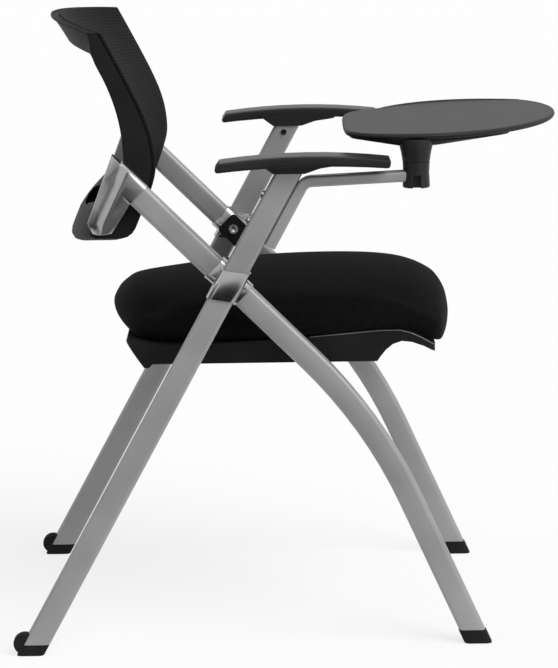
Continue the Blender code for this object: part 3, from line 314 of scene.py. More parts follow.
SILVER = silver_coat()
CHROME = chrome_plate()
BLACK = moulded_plastic("polypropylene_moulded_black", "#131313", "#1b1b1b",
                        grain_mm=0.9, rough=0.62, depth=0.18, gloss_level=0.12)
SATIN = moulded_plastic("abs_moulded_satin_black", "#191919", "#212121",
                        grain_mm=0.9, rough=0.42, depth=0.15, gloss_level=0.24)
# A pale grey on black plastic for the pan's rim bead: a painted highlight.
RIM_HIGHLIGHT = moulded_plastic("polypropylene_painted_rim_highlight", "#3c3c3c", "#585858",
                         grain_mm=2.0, rough=0.24, depth=0.05, gloss_level=0.6)
# The board's top is painted paler than its edge and underside: painted light and painted shade.
BOARD_GREY = moulded_plastic("abs_textured_charcoal", "#2e2e2f", "#363637",
                             grain_mm=1.0, rough=0.58, depth=0.22, gloss_level=0.22, edge="#161617")
CLOTH = seat_cloth()
MESH = spacer_mesh()
ZINC = turned_steel("zinc_plated_steel", "#a2a2a0", "#c4c4c2")
BLACKENED = turned_steel("oil_blackened_steel", "#1c1c1d", "#2a2a2b")
NYLON = moulded_plastic("nylon_natural_moulded", "#c9c8c0", "#d6d5ce",
                        grain_mm=1.4, rough=0.42, depth=0.06, gloss_level=0.5)
PLY = birch_ply()
RUBBER = moulded_plastic("rubber_moulded_black", "#111111", "#181818",
                         grain_mm=1.2, rough=0.72, depth=0.25, gloss_level=0.15)
THREAD = moulded_plastic("polyester_thread_grey", "#3c3c3d", "#4c4c4d",
                         grain_mm=0.6, rough=0.60, depth=0.20, gloss_level=0.2)

FINISH_OF_SLOT = {
    "silver_paint": SILVER,
    "chrome": CHROME,
    "black_plastic": BLACK,
    "tablet_plastic": BOARD_GREY,
    "seat_fabric": CLOTH,
    "back_mesh": MESH,
    "zinc_steel": ZINC,
    "nylon": NYLON,
    "plywood": PLY,
    "rubber": RUBBER,
}
# Pieces whose finish differs from the rest of their slot
OWN_FINISH = {
    "armrest": SATIN,
    "tablet_socket": SATIN,
    "tablet_hub": SATIN,
}


# Making pieces: angles are in degrees

CREASE = 35
SOFT_CREASE = 60
CLOTH_CREASE = 80
SAME_PLANE = 0.5
WELD_GAP = 0.004 * MM
SAME_SPOT = 0.001 * MM
ON_TOP = 0.05 * MM
# Pieces whose broad faces keep smooth normals, so that their shading runs on over the edges as over a
# slight crown
CROWNED_PIECES = ("front_leg_tube", "rear_leg_tube", "pivot_collar", "pivot_sleeve")


def add_piece(name, bm, slot, body, finish=None, crease=CREASE):
    """A finished piece from a bmesh, smooth shaded up to a crease angle, riding on a body."""
    mesh = mesh_from(bm, name)
    mesh.shade_smooth()
    mesh.set_sharp_from_angle(angle=math.radians(crease))
    mesh.materials.append(finish or FINISH_OF_SLOT[slot])
    piece = linked(name, mesh)
    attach(piece, body)
    return piece


def even_normals(piece):
    """Keeps flat faces flat beside rounded edges."""
    piece.modifiers.new("even_normals", "WEIGHTED_NORMAL").keep_sharp = True


def stand_in(node, bm, slot, finish=None, flat_faces=True):
    """A finished mesh as a piece, in place of the plain node."""
    piece = add_piece(f"{node}_finished", bm, slot, BODY_OF[node], finish)
    if flat_faces:
        even_normals(piece)
    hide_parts(node)


def welded(node):
    """A CAD solid's loose triangles joined up, its flat faces made whole."""
    bm = bmesh.new()
    bm.from_mesh(NODES[node].data)
    bmesh.ops.remove_doubles(bm, verts=bm.verts, dist=WELD_GAP)
    bmesh.ops.dissolve_limit(bm, angle_limit=math.radians(SAME_PLANE), verts=bm.verts, edges=bm.edges)
    return bm


def sharp_edges(bm, angle):
    """Edges whose two faces meet at more than an angle."""
    return [edge for edge in bm.edges
            if edge.is_manifold and edge.calc_face_angle() > math.radians(angle)]


def round_edges(bm, edges, radius, segments):
    """Rounds edges over."""
    bmesh.ops.bevel(bm, geom=edges, offset=radius, offset_type="OFFSET", segments=segments,
                    profile=0.5, affect="EDGES", clamp_overlap=True, material=-1)


def settled_mesh(ob):
    """The object's mesh as its modifiers leave it."""
    graph = bpy.context.evaluated_depsgraph_get()
    return bpy.data.meshes.new_from_object(ob.evaluated_get(graph), preserve_all_data_layers=True,
                                           depsgraph=graph)


def swept_bead(path, radius):
    """A round bead along a path, as a bmesh."""
    curve = bpy.data.curves.new("bead_path", "CURVE")
    curve.dimensions = "3D"
    curve.bevel_depth = radius
    curve.bevel_resolution = 2
    curve.use_fill_caps = True
    spline = curve.splines.new("POLY")
    spline.points.add(len(path) - 1)
    for point, spot in zip(spline.points, path):
        point.co = (*spot, 1)
    guide = linked("bead_path", curve)
    bm = bmesh.new()
    bm.from_mesh(settled_mesh(guide))
    bpy.data.objects.remove(guide)
    bmesh.ops.remove_doubles(bm, verts=bm.verts, dist=SAME_SPOT)
    bmesh.ops.recalc_face_normals(bm, faces=bm.faces)
    return bm


# Chrome elbow: a height, and the depths of its rear edge and its outer ridge there
ELBOW_LINES = (
    (0.5460, FOLD_X - 0.1722, FOLD_X - 0.1600),
    (0.5600, FOLD_X - 0.1785, FOLD_X - 0.1570),
    (0.5800, FOLD_X - 0.1710, FOLD_X - 0.1475),
    (0.6050, FOLD_X - 0.1615, FOLD_X - 0.1345),
    (0.6500, FOLD_X - 0.1445, FOLD_X - 0.1150),
)
ELBOW_RIDGE_Y = 0.236
ELBOW_FLANK_FALL = 0.011
ELBOW_SAME_PLANE = 3
ELBOW_LEAST_EDGE = 0.02 * MM


def smooth_elbow_flank(bm):
    """Lays the socket's end, which stands out of the elbow's rear flank, back into the flank."""
    for vert in bm.verts:
        x, y, z = vert.co
        for (z0, rear0, ridge0), (z1, rear1, ridge1) in zip(ELBOW_LINES, ELBOW_LINES[1:]):
            if z0 <= z <= z1:
                part = (z - z0) / (z1 - z0)
                rear, ridge = rear0 + (rear1 - rear0) * part, ridge0 + (ridge1 - ridge0) * part
                across = (x - rear) / (ridge - rear)
                flank = ELBOW_RIDGE_Y - ELBOW_FLANK_FALL * (1 - across) ** 2
                if 0 <= across < 1 and abs(y) > flank:
                    vert.co.y = math.copysign(flank, y)
    bmesh.ops.dissolve_degenerate(bm, dist=ELBOW_LEAST_EDGE, edges=bm.edges)
    bmesh.ops.dissolve_limit(bm, angle_limit=math.radians(ELBOW_SAME_PLANE), verts=bm.verts,
                             edges=bm.edges)


TABLET_RIM_WIDE = 4.5 * MM
TABLET_RIM_SLOPE = 1.6 * MM
TABLET_RIM_DEEP = 1.0 * MM
# How level a face is where the painted top light starts, and over what change it becomes full
LIT_TOP_START, LIT_TOP_RUN = 0.6, 0.35


def sink_writing_face(bm):
    """Leaves a low rim round the tablet's top, and marks how much painted top light each point of the
    board takes.
    """
    height = max(vert.co.z for vert in bm.verts)
    top = [face for face in bm.faces if all(height - vert.co.z < ON_TOP for vert in face.verts)]
    for thickness, depth in ((TABLET_RIM_WIDE, 0.0), (TABLET_RIM_SLOPE, -TABLET_RIM_DEEP)):
        bmesh.ops.inset_region(bm, faces=top, thickness=thickness, depth=depth,
                               use_boundary=True, use_even_offset=True)
    bm.normal_update()
    # A vertex attribute of painted top light: the more level a face, the paler it is painted.
    tone_share = bm.verts.layers.float.new("painted_top_light")
    for vert in bm.verts:
        vert[tone_share] = clamped((vert.normal.z - LIT_TOP_START) / LIT_TOP_RUN)


def finished(node, slot, rounding, finish, flat_faces=True):
    """A CAD solid with its sharp edges eased, in its finish, in place of the plain node."""
    bm = welded(node)
    if node.startswith("back_elbow"):
        smooth_elbow_flank(bm)
    if node == "tablet_board":
        sink_writing_face(bm)
    if rounding:
        round_edges(bm, sharp_edges(bm, CREASE), rounding, segments=2)
    stand_in(node, bm, slot, finish, flat_faces)


# Rigid solids on both sides, with their slot and the rounding of their edges in millimetres
for names, slot, rounding in (
    ("front_leg_tube rear_leg_tube", "silver_paint", 0),
    ("front_foot rear_foot", "black_plastic", 0),
    ("pivot_collar pivot_sleeve", "chrome", 1.0),
    ("pivot_cover", "black_plastic", 0.7),
    ("pivot_spacer", "nylon", 0.4),
    ("back_elbow", "chrome", 2.0),
    ("armrest", "black_plastic", 0.6),
    ("roller", "rubber", 0),
    ("seat_hinge_saddle", "nylon", 0.5),
):
    for name in names.split():
        for side in SIDES:
            finished(f"{name}_{side}", slot, rounding * MM, OWN_FINISH.get(name),
                     flat_faces=name not in CROWNED_PIECES)

# Single rigid solids
for name, slot, rounding in (
    ("front_crossbar", "silver_paint", 0),
    ("rear_crossbar", "silver_paint", 0),
    ("back_cross_rail", "black_plastic", 1.2),
    ("tablet_arm", "silver_paint", 0),
    ("tablet_socket", "black_plastic", 0.5),
    ("tablet_hub", "black_plastic", 0.5),
    ("tablet_spindle", "zinc_steel", 0.5),
    ("tablet_board", "tablet_plastic", 0),
    ("tablet_stiffener", "black_plastic", 0),
    ("seat_pan", "black_plastic", 0.8),
):
    finished(name, slot, rounding * MM, OWN_FINISH.get(name))


# Screws: a cross recess is sunk into each flat head

RECESS_SLOPE = 0.25 * MM
FACING_OUT = 0.999


def cross_head(node, slot, arm, half_wide, deep):
    """A screw with a cross recess of a given arm length, half width and depth in its head."""
    bm = welded(node)
    head = max(bm.faces, key=lambda face: face.calc_area())
    middle, out = head.calc_center_median(), head.normal.copy()
    across = out.orthogonal().normalized()
    turned = out.cross(across)

    def on_head(face):
        """Whether a face is part of the head's flat end."""
        height = (face.calc_center_median() - middle).dot(out)
        return face.normal.dot(out) > FACING_OUT and abs(height) < ON_TOP

    for line in (across, turned):
        for offset in (-arm, -half_wide, half_wide, arm):
            flat = [face for face in bm.faces if on_head(face)]
            cut = flat + list({edge for face in flat for edge in face.edges})
            cut += list({vert for face in flat for vert in face.verts})
            bmesh.ops.bisect_plane(bm, geom=cut, dist=SAME_SPOT, plane_co=middle + line * offset,
                                   plane_no=line)
    recess = []
    for face in bm.faces:
        spot = face.calc_center_median() - middle
        near, far = sorted((abs(spot.dot(across)), abs(spot.dot(turned))))
        if on_head(face) and near < half_wide and far < arm:
            recess.append(face)
    bmesh.ops.inset_region(bm, faces=recess, thickness=RECESS_SLOPE, depth=-deep,
                           use_even_offset=True)
    stand_in(node, bm, slot)


for side in SIDES:
    cross_head(f"pivot_bolt_{side}", "zinc_steel",
               arm=3.6 * MM, half_wide=0.9 * MM, deep=1.8 * MM)
    cross_head(f"arm_screw_{side}", "black_plastic",
               arm=2.2 * MM, half_wide=0.6 * MM, deep=1.2 * MM)


# Back: the mesh panel, its frame and its sewn edge, on one bowed surface

BACK_X = FOLD_X - 0.0845
BACK_TOP_Z = 0.7995
BACK_BOTTOM_Z = 0.572
BACK_TALL = BACK_TOP_Z - BACK_BOTTOM_Z
BACK_CROWN = 0.0110
BACK_HALF_TOP = 0.203
BACK_HALF_LOW = 0.2107
BACK_NARROWS_Z = 0.645
BACK_SAG_TOP = 0.062
BACK_SAG_LOW = 0.040
BACK_ROLL_Z = 0.700
# The back leans rearwards above one height and tucks in below another: height, slope, blend
BACK_LEAN_Z, BACK_LEAN, BACK_LEAN_BLEND = 0.670, 0.54, 0.04
BACK_TUCK_Z, BACK_TUCK, BACK_TUCK_BLEND = 0.622, 0.40, 0.012

MESH_HEM = 4.0 * MM
MESH_SKIN = 1.2 * MM
MESH_FOLD_RADIUS = 1.4 * MM
MESH_COLUMNS, MESH_ROWS = 84, 48

FRAME_BEHIND = MESH_HEM + 1.8 * MM
FRAME_WIDTH = 0.022
FRAME_EDGE_ANGLE = 50
TOP_RAIL_HEIGHT = 0.030
LOW_RAIL_HEIGHT = 0.013
# The frame's depth: everywhere, added at the sides, taken off the top rim, added at the flanks
FRAME_DEPTH = 0.0155
SIDE_DEPTH = 0.0115
TOP_THINNING = 0.006
FLANK_DEPTH, FLANK_FALL = 0.0085, 0.38
# Where each of these starts, and the run over which it comes in or goes out
SIDE_FROM_Z, SIDE_RUN = 0.745, 0.11
SIDE_FROM_SHARE, SIDE_SHARE_RUN = 0.75, 0.14
TOP_FROM_Z, TOP_RUN = 0.776, 0.03
FLANK_LOW_Z, FLANK_LOW_RUN = 0.585, 0.03
FLANK_HIGH_Z, FLANK_HIGH_RUN = 0.800, 0.045
FLANK_RADIUS = 3.0 * MM
RIM_RADIUS = 1.3 * MM
FLANK_EDGE = 0.1 * MM
CREST_BAND, CREST_LEVEL = 4 * MM, 0.8
CREST_WALL, CREST_DEEP = 3.6 * MM, 2.8 * MM

LIP_RADIUS = 1.6 * MM
LIP_STEPS = 40
LIP_SHARE = 0.985
LIP_FORWARD, LIP_DOWN = 1.2 * MM, 1.7 * MM

STITCHES = 40
STITCH_SHARE = 0.962
STITCH_START, STITCH_RUN = 0.04, 0.92
STITCH_AHEAD = 0.01
STITCH_SIZE = (0.8 * MM, 1.0 * MM, 2.4 * MM)


def back_half_width(z):
    """Half the back's width at a height: it narrows upwards from the elbows."""
    narrowing = clamped((z - BACK_NARROWS_Z) / (BACK_TOP_Z - BACK_NARROWS_Z))
    return BACK_HALF_LOW + (BACK_HALF_TOP - BACK_HALF_LOW) * narrowing


def back_point(u, height):
    """A point of the back's front surface, u from -1 at the right to 1 at the left, height 0 to 1."""
    z = BACK_BOTTOM_Z + height * BACK_TALL
    half_width = back_half_width(z)
    above, below = z - BACK_LEAN_Z, BACK_TUCK_Z - z
    lean = BACK_LEAN / 2 * (above + math.hypot(above, BACK_LEAN_BLEND))
    tuck = BACK_TUCK / 2 * (below + math.hypot(below, BACK_TUCK_BLEND))
    roll = max(z - BACK_ROLL_Z, 0) / (BACK_TOP_Z - BACK_ROLL_Z)
    sag = BACK_SAG_LOW + (BACK_SAG_TOP - BACK_SAG_LOW) * roll * roll
    x = BACK_X - lean - tuck - sag * (1 - u * u)
    return Vector((x, u * half_width, z + height * BACK_CROWN * (1 - u * u)))


def frame_depth(place):
    """How far the frame's moulding reaches back: deeper outwards, and down to the elbows."""
    low = smooth_step((SIDE_FROM_Z - place.z) / SIDE_RUN)
    outward = clamped((abs(place.y) / BACK_HALF_LOW - SIDE_FROM_SHARE) / SIDE_SHARE_RUN)
    rim = clamped((place.z - TOP_FROM_Z) / TOP_RUN)
    flank = smooth_step((place.z - FLANK_LOW_Z) / FLANK_LOW_RUN)
    flank *= smooth_step((FLANK_HIGH_Z - place.z) / FLANK_HIGH_RUN)
    inset = max(back_half_width(place.z) - abs(place.y), 0)
    depth = FRAME_DEPTH + SIDE_DEPTH * low * outward - TOP_THINNING * rim
    return depth + flank * max(FLANK_DEPTH - FLANK_FALL * inset, 0)


def banded(low_band, high_band, border_cells, inner_cells):
    """Steps from 0 to 1 with a border of even cells at each end."""
    steps = [low_band * i / border_cells for i in range(border_cells)]
    steps += [low_band + (1 - low_band - high_band) * i / inner_cells for i in range(inner_cells)]
    steps += [1 - high_band + high_band * i / border_cells for i in range(border_cells + 1)]
    return steps


def back_patch(across, upward, behind):
    """The back's front surface as a grid with given steps, set back by a distance."""
    bm = bmesh.new()
    columns, rows = len(across) - 1, len(upward) - 1
    bmesh.ops.create_grid(bm, x_segments=columns, y_segments=rows, size=1)

    def shares(vert):
        """A grid vertex's place across the back and up it."""
        u = across[round((vert.co.x + 1) / 2 * columns)] * 2 - 1
        return u, upward[round((vert.co.y + 1) / 2 * rows)]

    cloth = bm.loops.layers.uv.new("cloth_mm")
    for face in bm.faces:
        for loop in face.loops:
            u, height = shares(loop.vert)
            loop[cloth].uv = (u * BACK_HALF_LOW / MM, height * BACK_TALL / MM)
    for vert in bm.verts:
        vert.co = back_point(*shares(vert)) - Vector((behind, 0, 0))
    return bm


def made_verts(result):
    """The vertices among what an operator made."""
    return [item for item in result["geom"] if isinstance(item, bmesh.types.BMVert)]


def build_back_frame():
    """A moulded ring whose side rails run down to the elbows."""
    side = FRAME_WIDTH / BACK_HALF_LOW / 2
    low_rail, top_rail = LOW_RAIL_HEIGHT / BACK_TALL, TOP_RAIL_HEIGHT / BACK_TALL
    across = banded(side, side, 4, 40)
    upward = banded(low_rail, top_rail, 4, 20)
    bm = back_patch(across, upward, FRAME_BEHIND)
    opening = []
    for face in bm.faces:
        spots = [loop[bm.loops.layers.uv["cloth_mm"]].uv for loop in face.loops]
        u = sum(spot.x for spot in spots) / 4 * MM / BACK_HALF_LOW
        height = sum(spot.y for spot in spots) / 4 * MM / BACK_TALL
        if abs(u) < 1 - 2 * side and low_rail < height < 1 - top_rail:
            opening.append(face)
    bmesh.ops.delete(bm, geom=opening, context="FACES")
    back_side = bmesh.ops.extrude_face_region(bm, geom=bm.faces[:], use_keep_orig=True)
    rear = set(made_verts(back_side))
    flank = [edge for edge in bm.edges if all(
        vert in rear and back_half_width(vert.co.z) - abs(vert.co.y) < FLANK_EDGE
        for vert in edge.verts)]
    for vert in rear:
        vert.co.x -= frame_depth(vert.co)
    bmesh.ops.recalc_face_normals(bm, faces=bm.faces)
    round_edges(bm, flank, FLANK_RADIUS, segments=4)
    bm.normal_update()
    crest = [face for face in bm.faces
             if face.normal.z > CREST_LEVEL
             and face.calc_center_median().z > BACK_TOP_Z - CREST_BAND]
    bmesh.ops.inset_region(bm, faces=crest, thickness=CREST_WALL, depth=-CREST_DEEP,
                           use_even_offset=True)
    round_edges(bm, sharp_edges(bm, FRAME_EDGE_ANGLE), RIM_RADIUS, segments=3)
    piece = add_piece("back_frame_moulding", bm, "black_plastic", "front_frame", crease=SOFT_CREASE)
    even_normals(piece)
    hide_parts("back_frame")


def build_back_lip():
    """A round lip along the top rail's rear edge."""
    path = []
    for i in range(LIP_STEPS + 1):
        spot = back_point(LIP_SHARE * (i / (LIP_STEPS / 2) - 1), 1)
        spot.x -= FRAME_BEHIND + frame_depth(spot) - LIP_FORWARD
        spot.z -= LIP_DOWN
        path.append(spot)
    add_piece("back_frame_lip", swept_bead(path, LIP_RADIUS), "black_plastic", "front_frame",
              crease=SOFT_CREASE)


def build_back_mesh():
    """One stretched panel, its rim turned back over the carrier ring."""
    across = [i / MESH_COLUMNS for i in range(MESH_COLUMNS + 1)]
    upward = [i / MESH_ROWS for i in range(MESH_ROWS + 1)]
    bm = back_patch(across, upward, 0)
    rim = [edge for edge in bm.edges if edge.is_boundary]
    hem = bmesh.ops.extrude_edge_only(bm, edges=rim)
    for vert in made_verts(hem):
        vert.co.x -= MESH_HEM
    bmesh.ops.recalc_face_normals(bm, faces=bm.faces)
    if max(bm.faces, key=lambda face: face.calc_area()).normal.x < 0:
        bmesh.ops.reverse_faces(bm, faces=bm.faces)
    round_edges(bm, sharp_edges(bm, FRAME_EDGE_ANGLE), MESH_FOLD_RADIUS, segments=3)
    piece = add_piece("back_mesh_panel", bm, "back_mesh", "front_frame", crease=SOFT_CREASE)
    skin = piece.modifiers.new("mesh_thickness", "SOLIDIFY")
    skin.thickness = MESH_SKIN
    skin.offset = -1
    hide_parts("back_mesh")
    return piece


def sew_back_edges():
    """A row of short stitches down each upright edge of the mesh."""
    bm = bmesh.new()
    for u in (-STITCH_SHARE, STITCH_SHARE):
        for i in range(STITCHES):
            height = STITCH_START + STITCH_RUN * i / (STITCHES - 1)
            place = back_point(u, height)
            run = back_point(u, height + STITCH_AHEAD) - place
            turn = Vector((0, 0, 1)).rotation_difference(run).to_matrix()
            made = bmesh.ops.create_uvsphere(bm, u_segments=6, v_segments=4, radius=0.5)
            stitch = made["verts"]
            bmesh.ops.scale(bm, verts=stitch, vec=STITCH_SIZE)
            bmesh.ops.rotate(bm, verts=stitch, matrix=turn)
            bmesh.ops.translate(bm, verts=stitch, vec=place)
    return add_piece("back_edge_stitches", bm, "back_mesh", "front_frame", THREAD,
                     crease=CLOTH_CREASE)


build_back_frame()
build_back_lip()
build_back_mesh()
sew_back_edges()


# Seat: a foam cushion under a tight cover, on the pan's rim

SEAT_REAR_X = FOLD_X - 0.162
SEAT_FRONT_X = FOLD_X + 0.292
SEAT_HALF = 0.199
SEAT_BOARD_THICK = 0.006
# The pan's rim, as depths and heights
RIM_LINE = (
    (-0.2315, 0.4060), (-0.2080, 0.3990), (-0.1735, 0.3945), (-0.1385, 0.3935),
    (-0.0475, 0.3990), (0.0295, 0.4030), (0.1195, 0.4105), (0.1455, 0.4105),
    (0.1585, 0.4072), (0.1701, 0.4023), (0.1816, 0.3958), (0.1910, 0.3900),
)
PAN_FRONT_X = FOLD_X + 0.2645
PAN_HALF = 0.196
PAN_CORNER = 10 * MM
BEAD_RADIUS = 0.8 * MM

# The cushion's cage: where its steps out from the middle lie
CAGE_STEPS = {0: 0.0, 1: 0.45, 2: 0.84, 3: 1.0}
# Shares at the rear and at the front: top drawn in, corners rounded, foot drawn in, crown lowered
TOP_TUCK = (0.10, 0.08)
CORNER_ROUND = (0.30, 0.16)
FOOT_TUCK = (0.045, 0.012)
END_DROP = (0.26, 0.10)
CROWN_HEIGHT = 0.0638
CROWN_BASE_Z = 0.4050
SIDE_DROP, SIDE_POWER = 0.33, 2.4
# The cover's height over the rim, at its ends and between them, and over the board
RIM_GAP, FRONT_RIM_GAP = 2.2 * MM, 5.9 * MM
BOARD_GAP = 3 * MM
RIM_LIFT = 1.2 * MM
RIM_TIGHTNESS = 0.7

SWELL_CAP = 4 * MM
SWELL_FRAMES = 20
SMOOTH_ROUNDS = 30
# The cover is held fast up to one level of its side, and less and less over the next run
HELD_LEVEL, HELD_RUN = 0.1, 0.4
COVER_SETTINGS = {
    "vertex_group_mass": "held",
    "use_pressure": True,
    "uniform_pressure_force": 4,
    "tension_stiffness": 20,
    "compression_stiffness": 20,
    "bending_stiffness": 8,
}


def rim_height(x):
    """The height of the pan's rim at a depth of the seat."""
    x = max(x, RIM_LINE[0][0])
    for (x0, z0), (x1, z1) in zip(RIM_LINE, RIM_LINE[1:]):
        if x <= x1:
            return z0 + (z1 - z0) * (x - x0) / (x1 - x0)
    return RIM_LINE[-1][1]


def cushion_cage():
    """A coarse cage of the cushion, with each vertex's level up the side from 0 to 1."""
    bm = bmesh.new()
    bmesh.ops.create_cube(bm, size=2)
    bmesh.ops.subdivide_edges(bm, edges=bm.edges, cuts=5, use_grid_fill=True)
    middle = (SEAT_REAR_X + SEAT_FRONT_X) / 2
    half_long = (SEAT_FRONT_X - SEAT_REAR_X) / 2
    levels, rim = [], set()
    for vert in bm.verts:
        u, v, w = (math.copysign(CAGE_STEPS[round(abs(value) * 3)], value) for value in vert.co)
        levels.append((round(vert.co.z * 3) + 3) / 6)
        edge = max(abs(u), abs(v))
        end = 0 if u < 0 else 1
        corner = CORNER_ROUND[end]
        pull = 1.0 - TOP_TUCK[end] * max(w, 0) ** 3 * edge - FOOT_TUCK[end] * max(-w, 0) ** 5 * edge
        x = middle + half_long * u * math.sqrt(1 - corner * v * v) * pull
        y = SEAT_HALF * v * math.sqrt(1 - corner * u * u) * pull
        floor = rim_height(x) + (FRONT_RIM_GAP if 0 < u < 1 else RIM_GAP)
        if w == -1 and edge < 1:
            floor += SEAT_BOARD_THICK + BOARD_GAP
        dome = CROWN_HEIGHT * (1 - SIDE_DROP * abs(v) ** SIDE_POWER) * (1 - END_DROP[end] * u ** 4)
        top = min(floor, CROWN_BASE_Z) + dome
        vert.co = (x, y, floor + (top - floor) * (w + 1) / 2)
        if w == -1 and edge == 1:
            vert.co.z = rim_height(x) + RIM_LIFT
            rim.add(vert)
    tight = bm.edges.layers.float.new("crease_edge")
    for edge in bm.edges:
        edge[tight] = RIM_TIGHTNESS if all(vert in rim for vert in edge.verts) else 0.0
    return bm, levels


def subdivided(pad, steps):
    """Makes the pad's mesh finer and smoother, in place."""
    finer = pad.modifiers.new("finer", "SUBSURF")
    finer.levels = finer.render_levels = steps
    pad.data = settled_mesh(pad)
    pad.modifiers.clear()


def blow_up(pad):
    """Lets the cover swell like foam under a tight cloth, held along its lower edge."""
    start = [vert.co.copy() for vert in pad.data.vertices]
    cover = pad.modifiers.new("cover", "CLOTH").settings
    for setting, value in COVER_SETTINGS.items():
        setattr(cover, setting, value)
    cover.effector_weights.gravity = 0
    for moment in range(1, SWELL_FRAMES + 1):
        SCENE.frame_set(moment)
    swollen = settled_mesh(pad)
    pad.modifiers.clear()
    # The swelling itself is smoothed, as a mesh of shifts, so that it leaves no creases
    shifts = bmesh.new()
    shifts.from_mesh(pad.data)
    for vert, rest, moved in zip(shifts.verts, start, swollen.vertices):
        shift = moved.co - rest
        vert.co = shift * min(1, SWELL_CAP / max(shift.length, SAME_SPOT))
    for _ in range(SMOOTH_ROUNDS):
        bmesh.ops.smooth_vert(shifts, verts=shifts.verts, factor=0.5,
                              use_axis_x=True, use_axis_y=True, use_axis_z=True)
    for vert, rest, shift in zip(pad.data.vertices, start, shifts.verts):
        vert.co = rest + shift.co
    shifts.free()
    bpy.data.meshes.remove(swollen)
    SCENE.frame_set(1)


def build_cushion():
    """The padded cover: a smooth cage, swollen a little."""
    cage, levels = cushion_cage()
    pad = linked("cushion_start", mesh_from(cage, "cushion_start"))
    held = pad.vertex_groups.new(name="held")
    for index, level in enumerate(levels):
        held.add([index], 1 - smooth_step((level - HELD_LEVEL) / HELD_RUN), "REPLACE")
    subdivided(pad, 3)
    blow_up(pad)
    subdivided(pad, 1)
    bm = bmesh.new()
    bm.from_mesh(pad.data)
    bpy.data.objects.remove(pad)
    bmesh.ops.recalc_face_normals(bm, faces=bm.faces)
    cushion = add_piece("seat_cushion_cover", bm, "seat_fabric", "seat", crease=CLOTH_CREASE)
    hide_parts("seat_cushion")


def build_pan_bead():
    """A pale bead on the pan's rim from the middle of each side round the front: a painted highlight.
    """
    front_x, half = PAN_FRONT_X - PAN_CORNER, PAN_HALF - PAN_CORNER
    path = [Vector((x, PAN_HALF, rim_height(x))) for x, _ in RIM_LINE if 0 < x < front_x]
    for degrees in range(0, 91, 15):
        turn = math.radians(degrees)
        x = front_x + PAN_CORNER * math.sin(turn)
        path.append(Vector((x, half + PAN_CORNER * math.cos(turn), rim_height(x))))
    path += [Vector((spot.x, -spot.y, spot.z)) for spot in reversed(path)]
    add_piece("seat_pan_bead", swept_bead(path, BEAD_RADIUS), "black_plastic", "seat", RIM_HIGHLIGHT,
              crease=SOFT_CREASE)


build_cushion()
build_pan_bead()


# CAD solids that are shown as they are, in their finish
for name, finish in (
    ("seat_board", PLY),
    ("back_carrier", BLACK),
    *((f"pivot_nut_{side}", ZINC) for side in SIDES),
    *((f"roller_axle_{side}", BLACKENED) for side in SIDES),
    *((f"seat_bumper_{side}", RUBBER) for side in SIDES),
    *((f"tablet_arm_bolt_{end}", ZINC) for end in ("lower", "upper")),
):
    NODES[name].data.materials.clear()
    NODES[name].data.materials.append(finish)


# Studio: a white paper floor, a soft key light from the front right and white surroundings

FLOOR_HALF = 40
FLOOR_WHITE_SHARE = 0.75
SURROUND_STRENGTH = 0.42
WHITE = (1, 1, 1, 1)
# Dark cards that only reflections see, as a photographer sets them to give chrome its contrast:
# their size, their turn about Y in degrees, and their middle
CARDS = (
    ("floor_card", (2.2, 6.0), 0, (-0.45, -3.6, 0.01)),
    ("left_card", (1.2, 2.4), 90, (-2.4, -1.2, 0.61)),
)
# Lights: the way they shine, their strength, and their spread in degrees
LIGHTS = (
    ("key_light", (-0.62, 0.55, -0.80), 2.30, 45),
    ("edge_light", (1.0, 0.25, -0.30), 0.15, 12),
)


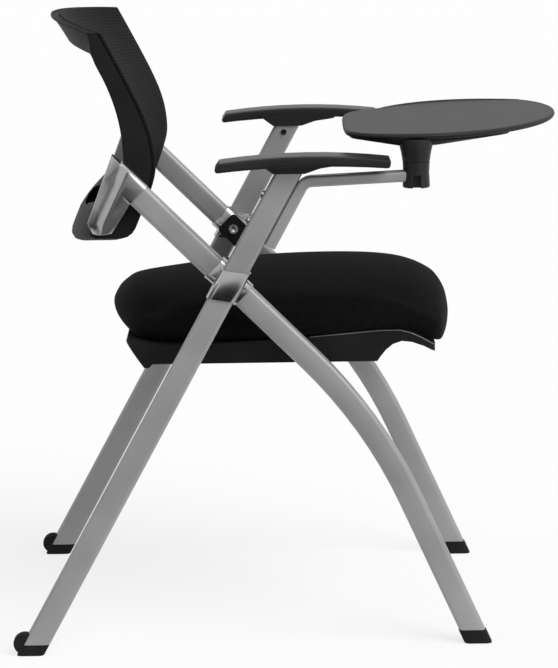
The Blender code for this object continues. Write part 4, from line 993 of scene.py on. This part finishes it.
def whitened(tree, shader, white_kind, share):
    """Mixes a share of plain white into a surface where the camera or a reflection sees it."""
    path = add_node(tree, "ShaderNodeLightPath").outputs
    seen = path["Is Camera Ray"]
    for ray in ("Is Glossy Ray", "Is Transmission Ray"):
        either = add_node(tree, "ShaderNodeMath", {"operation": "MAXIMUM"}, {0: seen, 1: path[ray]})
        seen = either.outputs[0]
    part = add_node(tree, "ShaderNodeMath", {"operation": "MULTIPLY"}, {0: seen, 1: share})
    white = add_node(tree, white_kind, inputs={"Color": WHITE, "Strength": 1.0})
    inputs = {0: part.outputs[0], 1: shader, 2: white.outputs[0]}
    return add_node(tree, "ShaderNodeMixShader", inputs=inputs).outputs[0]


def build_floor():
    """A wide sheet of white paper under the chair."""
    bm = bmesh.new()
    bmesh.ops.create_grid(bm, x_segments=2, y_segments=2, size=FLOOR_HALF)
    mesh = mesh_from(bm, "studio_floor")
    paper, tree, shader = new_finish("studio_paper_white", base_color=hex_colour("#ffffff"),
                                     roughness=0.9)
    lit = whitened(tree, shader.outputs[0], "ShaderNodeEmission", FLOOR_WHITE_SHARE)
    tree.links.new(lit, tree.nodes["Material Output"].inputs["Surface"])
    mesh.materials.append(paper)
    linked("studio_floor", mesh)


def build_cards():
    """The dark cards, in felt."""
    felt, _, _ = new_finish("studio_felt_grey", base_color=hex_colour("#1c1c1c"),
                            specular_ior_level=0.0)
    for name, size, turn, middle in CARDS:
        bm = bmesh.new()
        bmesh.ops.create_grid(bm, x_segments=1, y_segments=1, size=0.5)
        bmesh.ops.scale(bm, verts=bm.verts, vec=(*size, 1))
        bmesh.ops.rotate(bm, verts=bm.verts, matrix=Matrix.Rotation(math.radians(turn), 3, "Y"))
        bmesh.ops.translate(bm, verts=bm.verts, vec=middle)
        mesh = mesh_from(bm, name)
        mesh.materials.append(felt)
        card = linked(name, mesh)
        card.visible_camera = card.visible_diffuse = False
        card.visible_shadow = card.visible_transmission = False


def light_studio():
    """White surroundings and the lights."""
    world = bpy.data.worlds.new("studio_white")
    world.use_nodes = True
    SCENE.world = world
    tree = world.node_tree
    tree.nodes.clear()
    dim = add_node(tree, "ShaderNodeBackground",
                   inputs={"Color": WHITE, "Strength": SURROUND_STRENGTH})
    sky = whitened(tree, dim.outputs[0], "ShaderNodeBackground", 1)
    add_node(tree, "ShaderNodeOutputWorld", inputs={"Surface": sky})
    for name, towards, strength, spread in LIGHTS:
        data = bpy.data.lights.new(name, "SUN")
        data.energy = strength
        data.angle = math.radians(spread)
        lamp = linked(name, data)
        lamp.rotation_euler = Vector(towards).to_track_quat("-Z", "Y").to_euler()


build_floor()
build_cards()
light_studio()
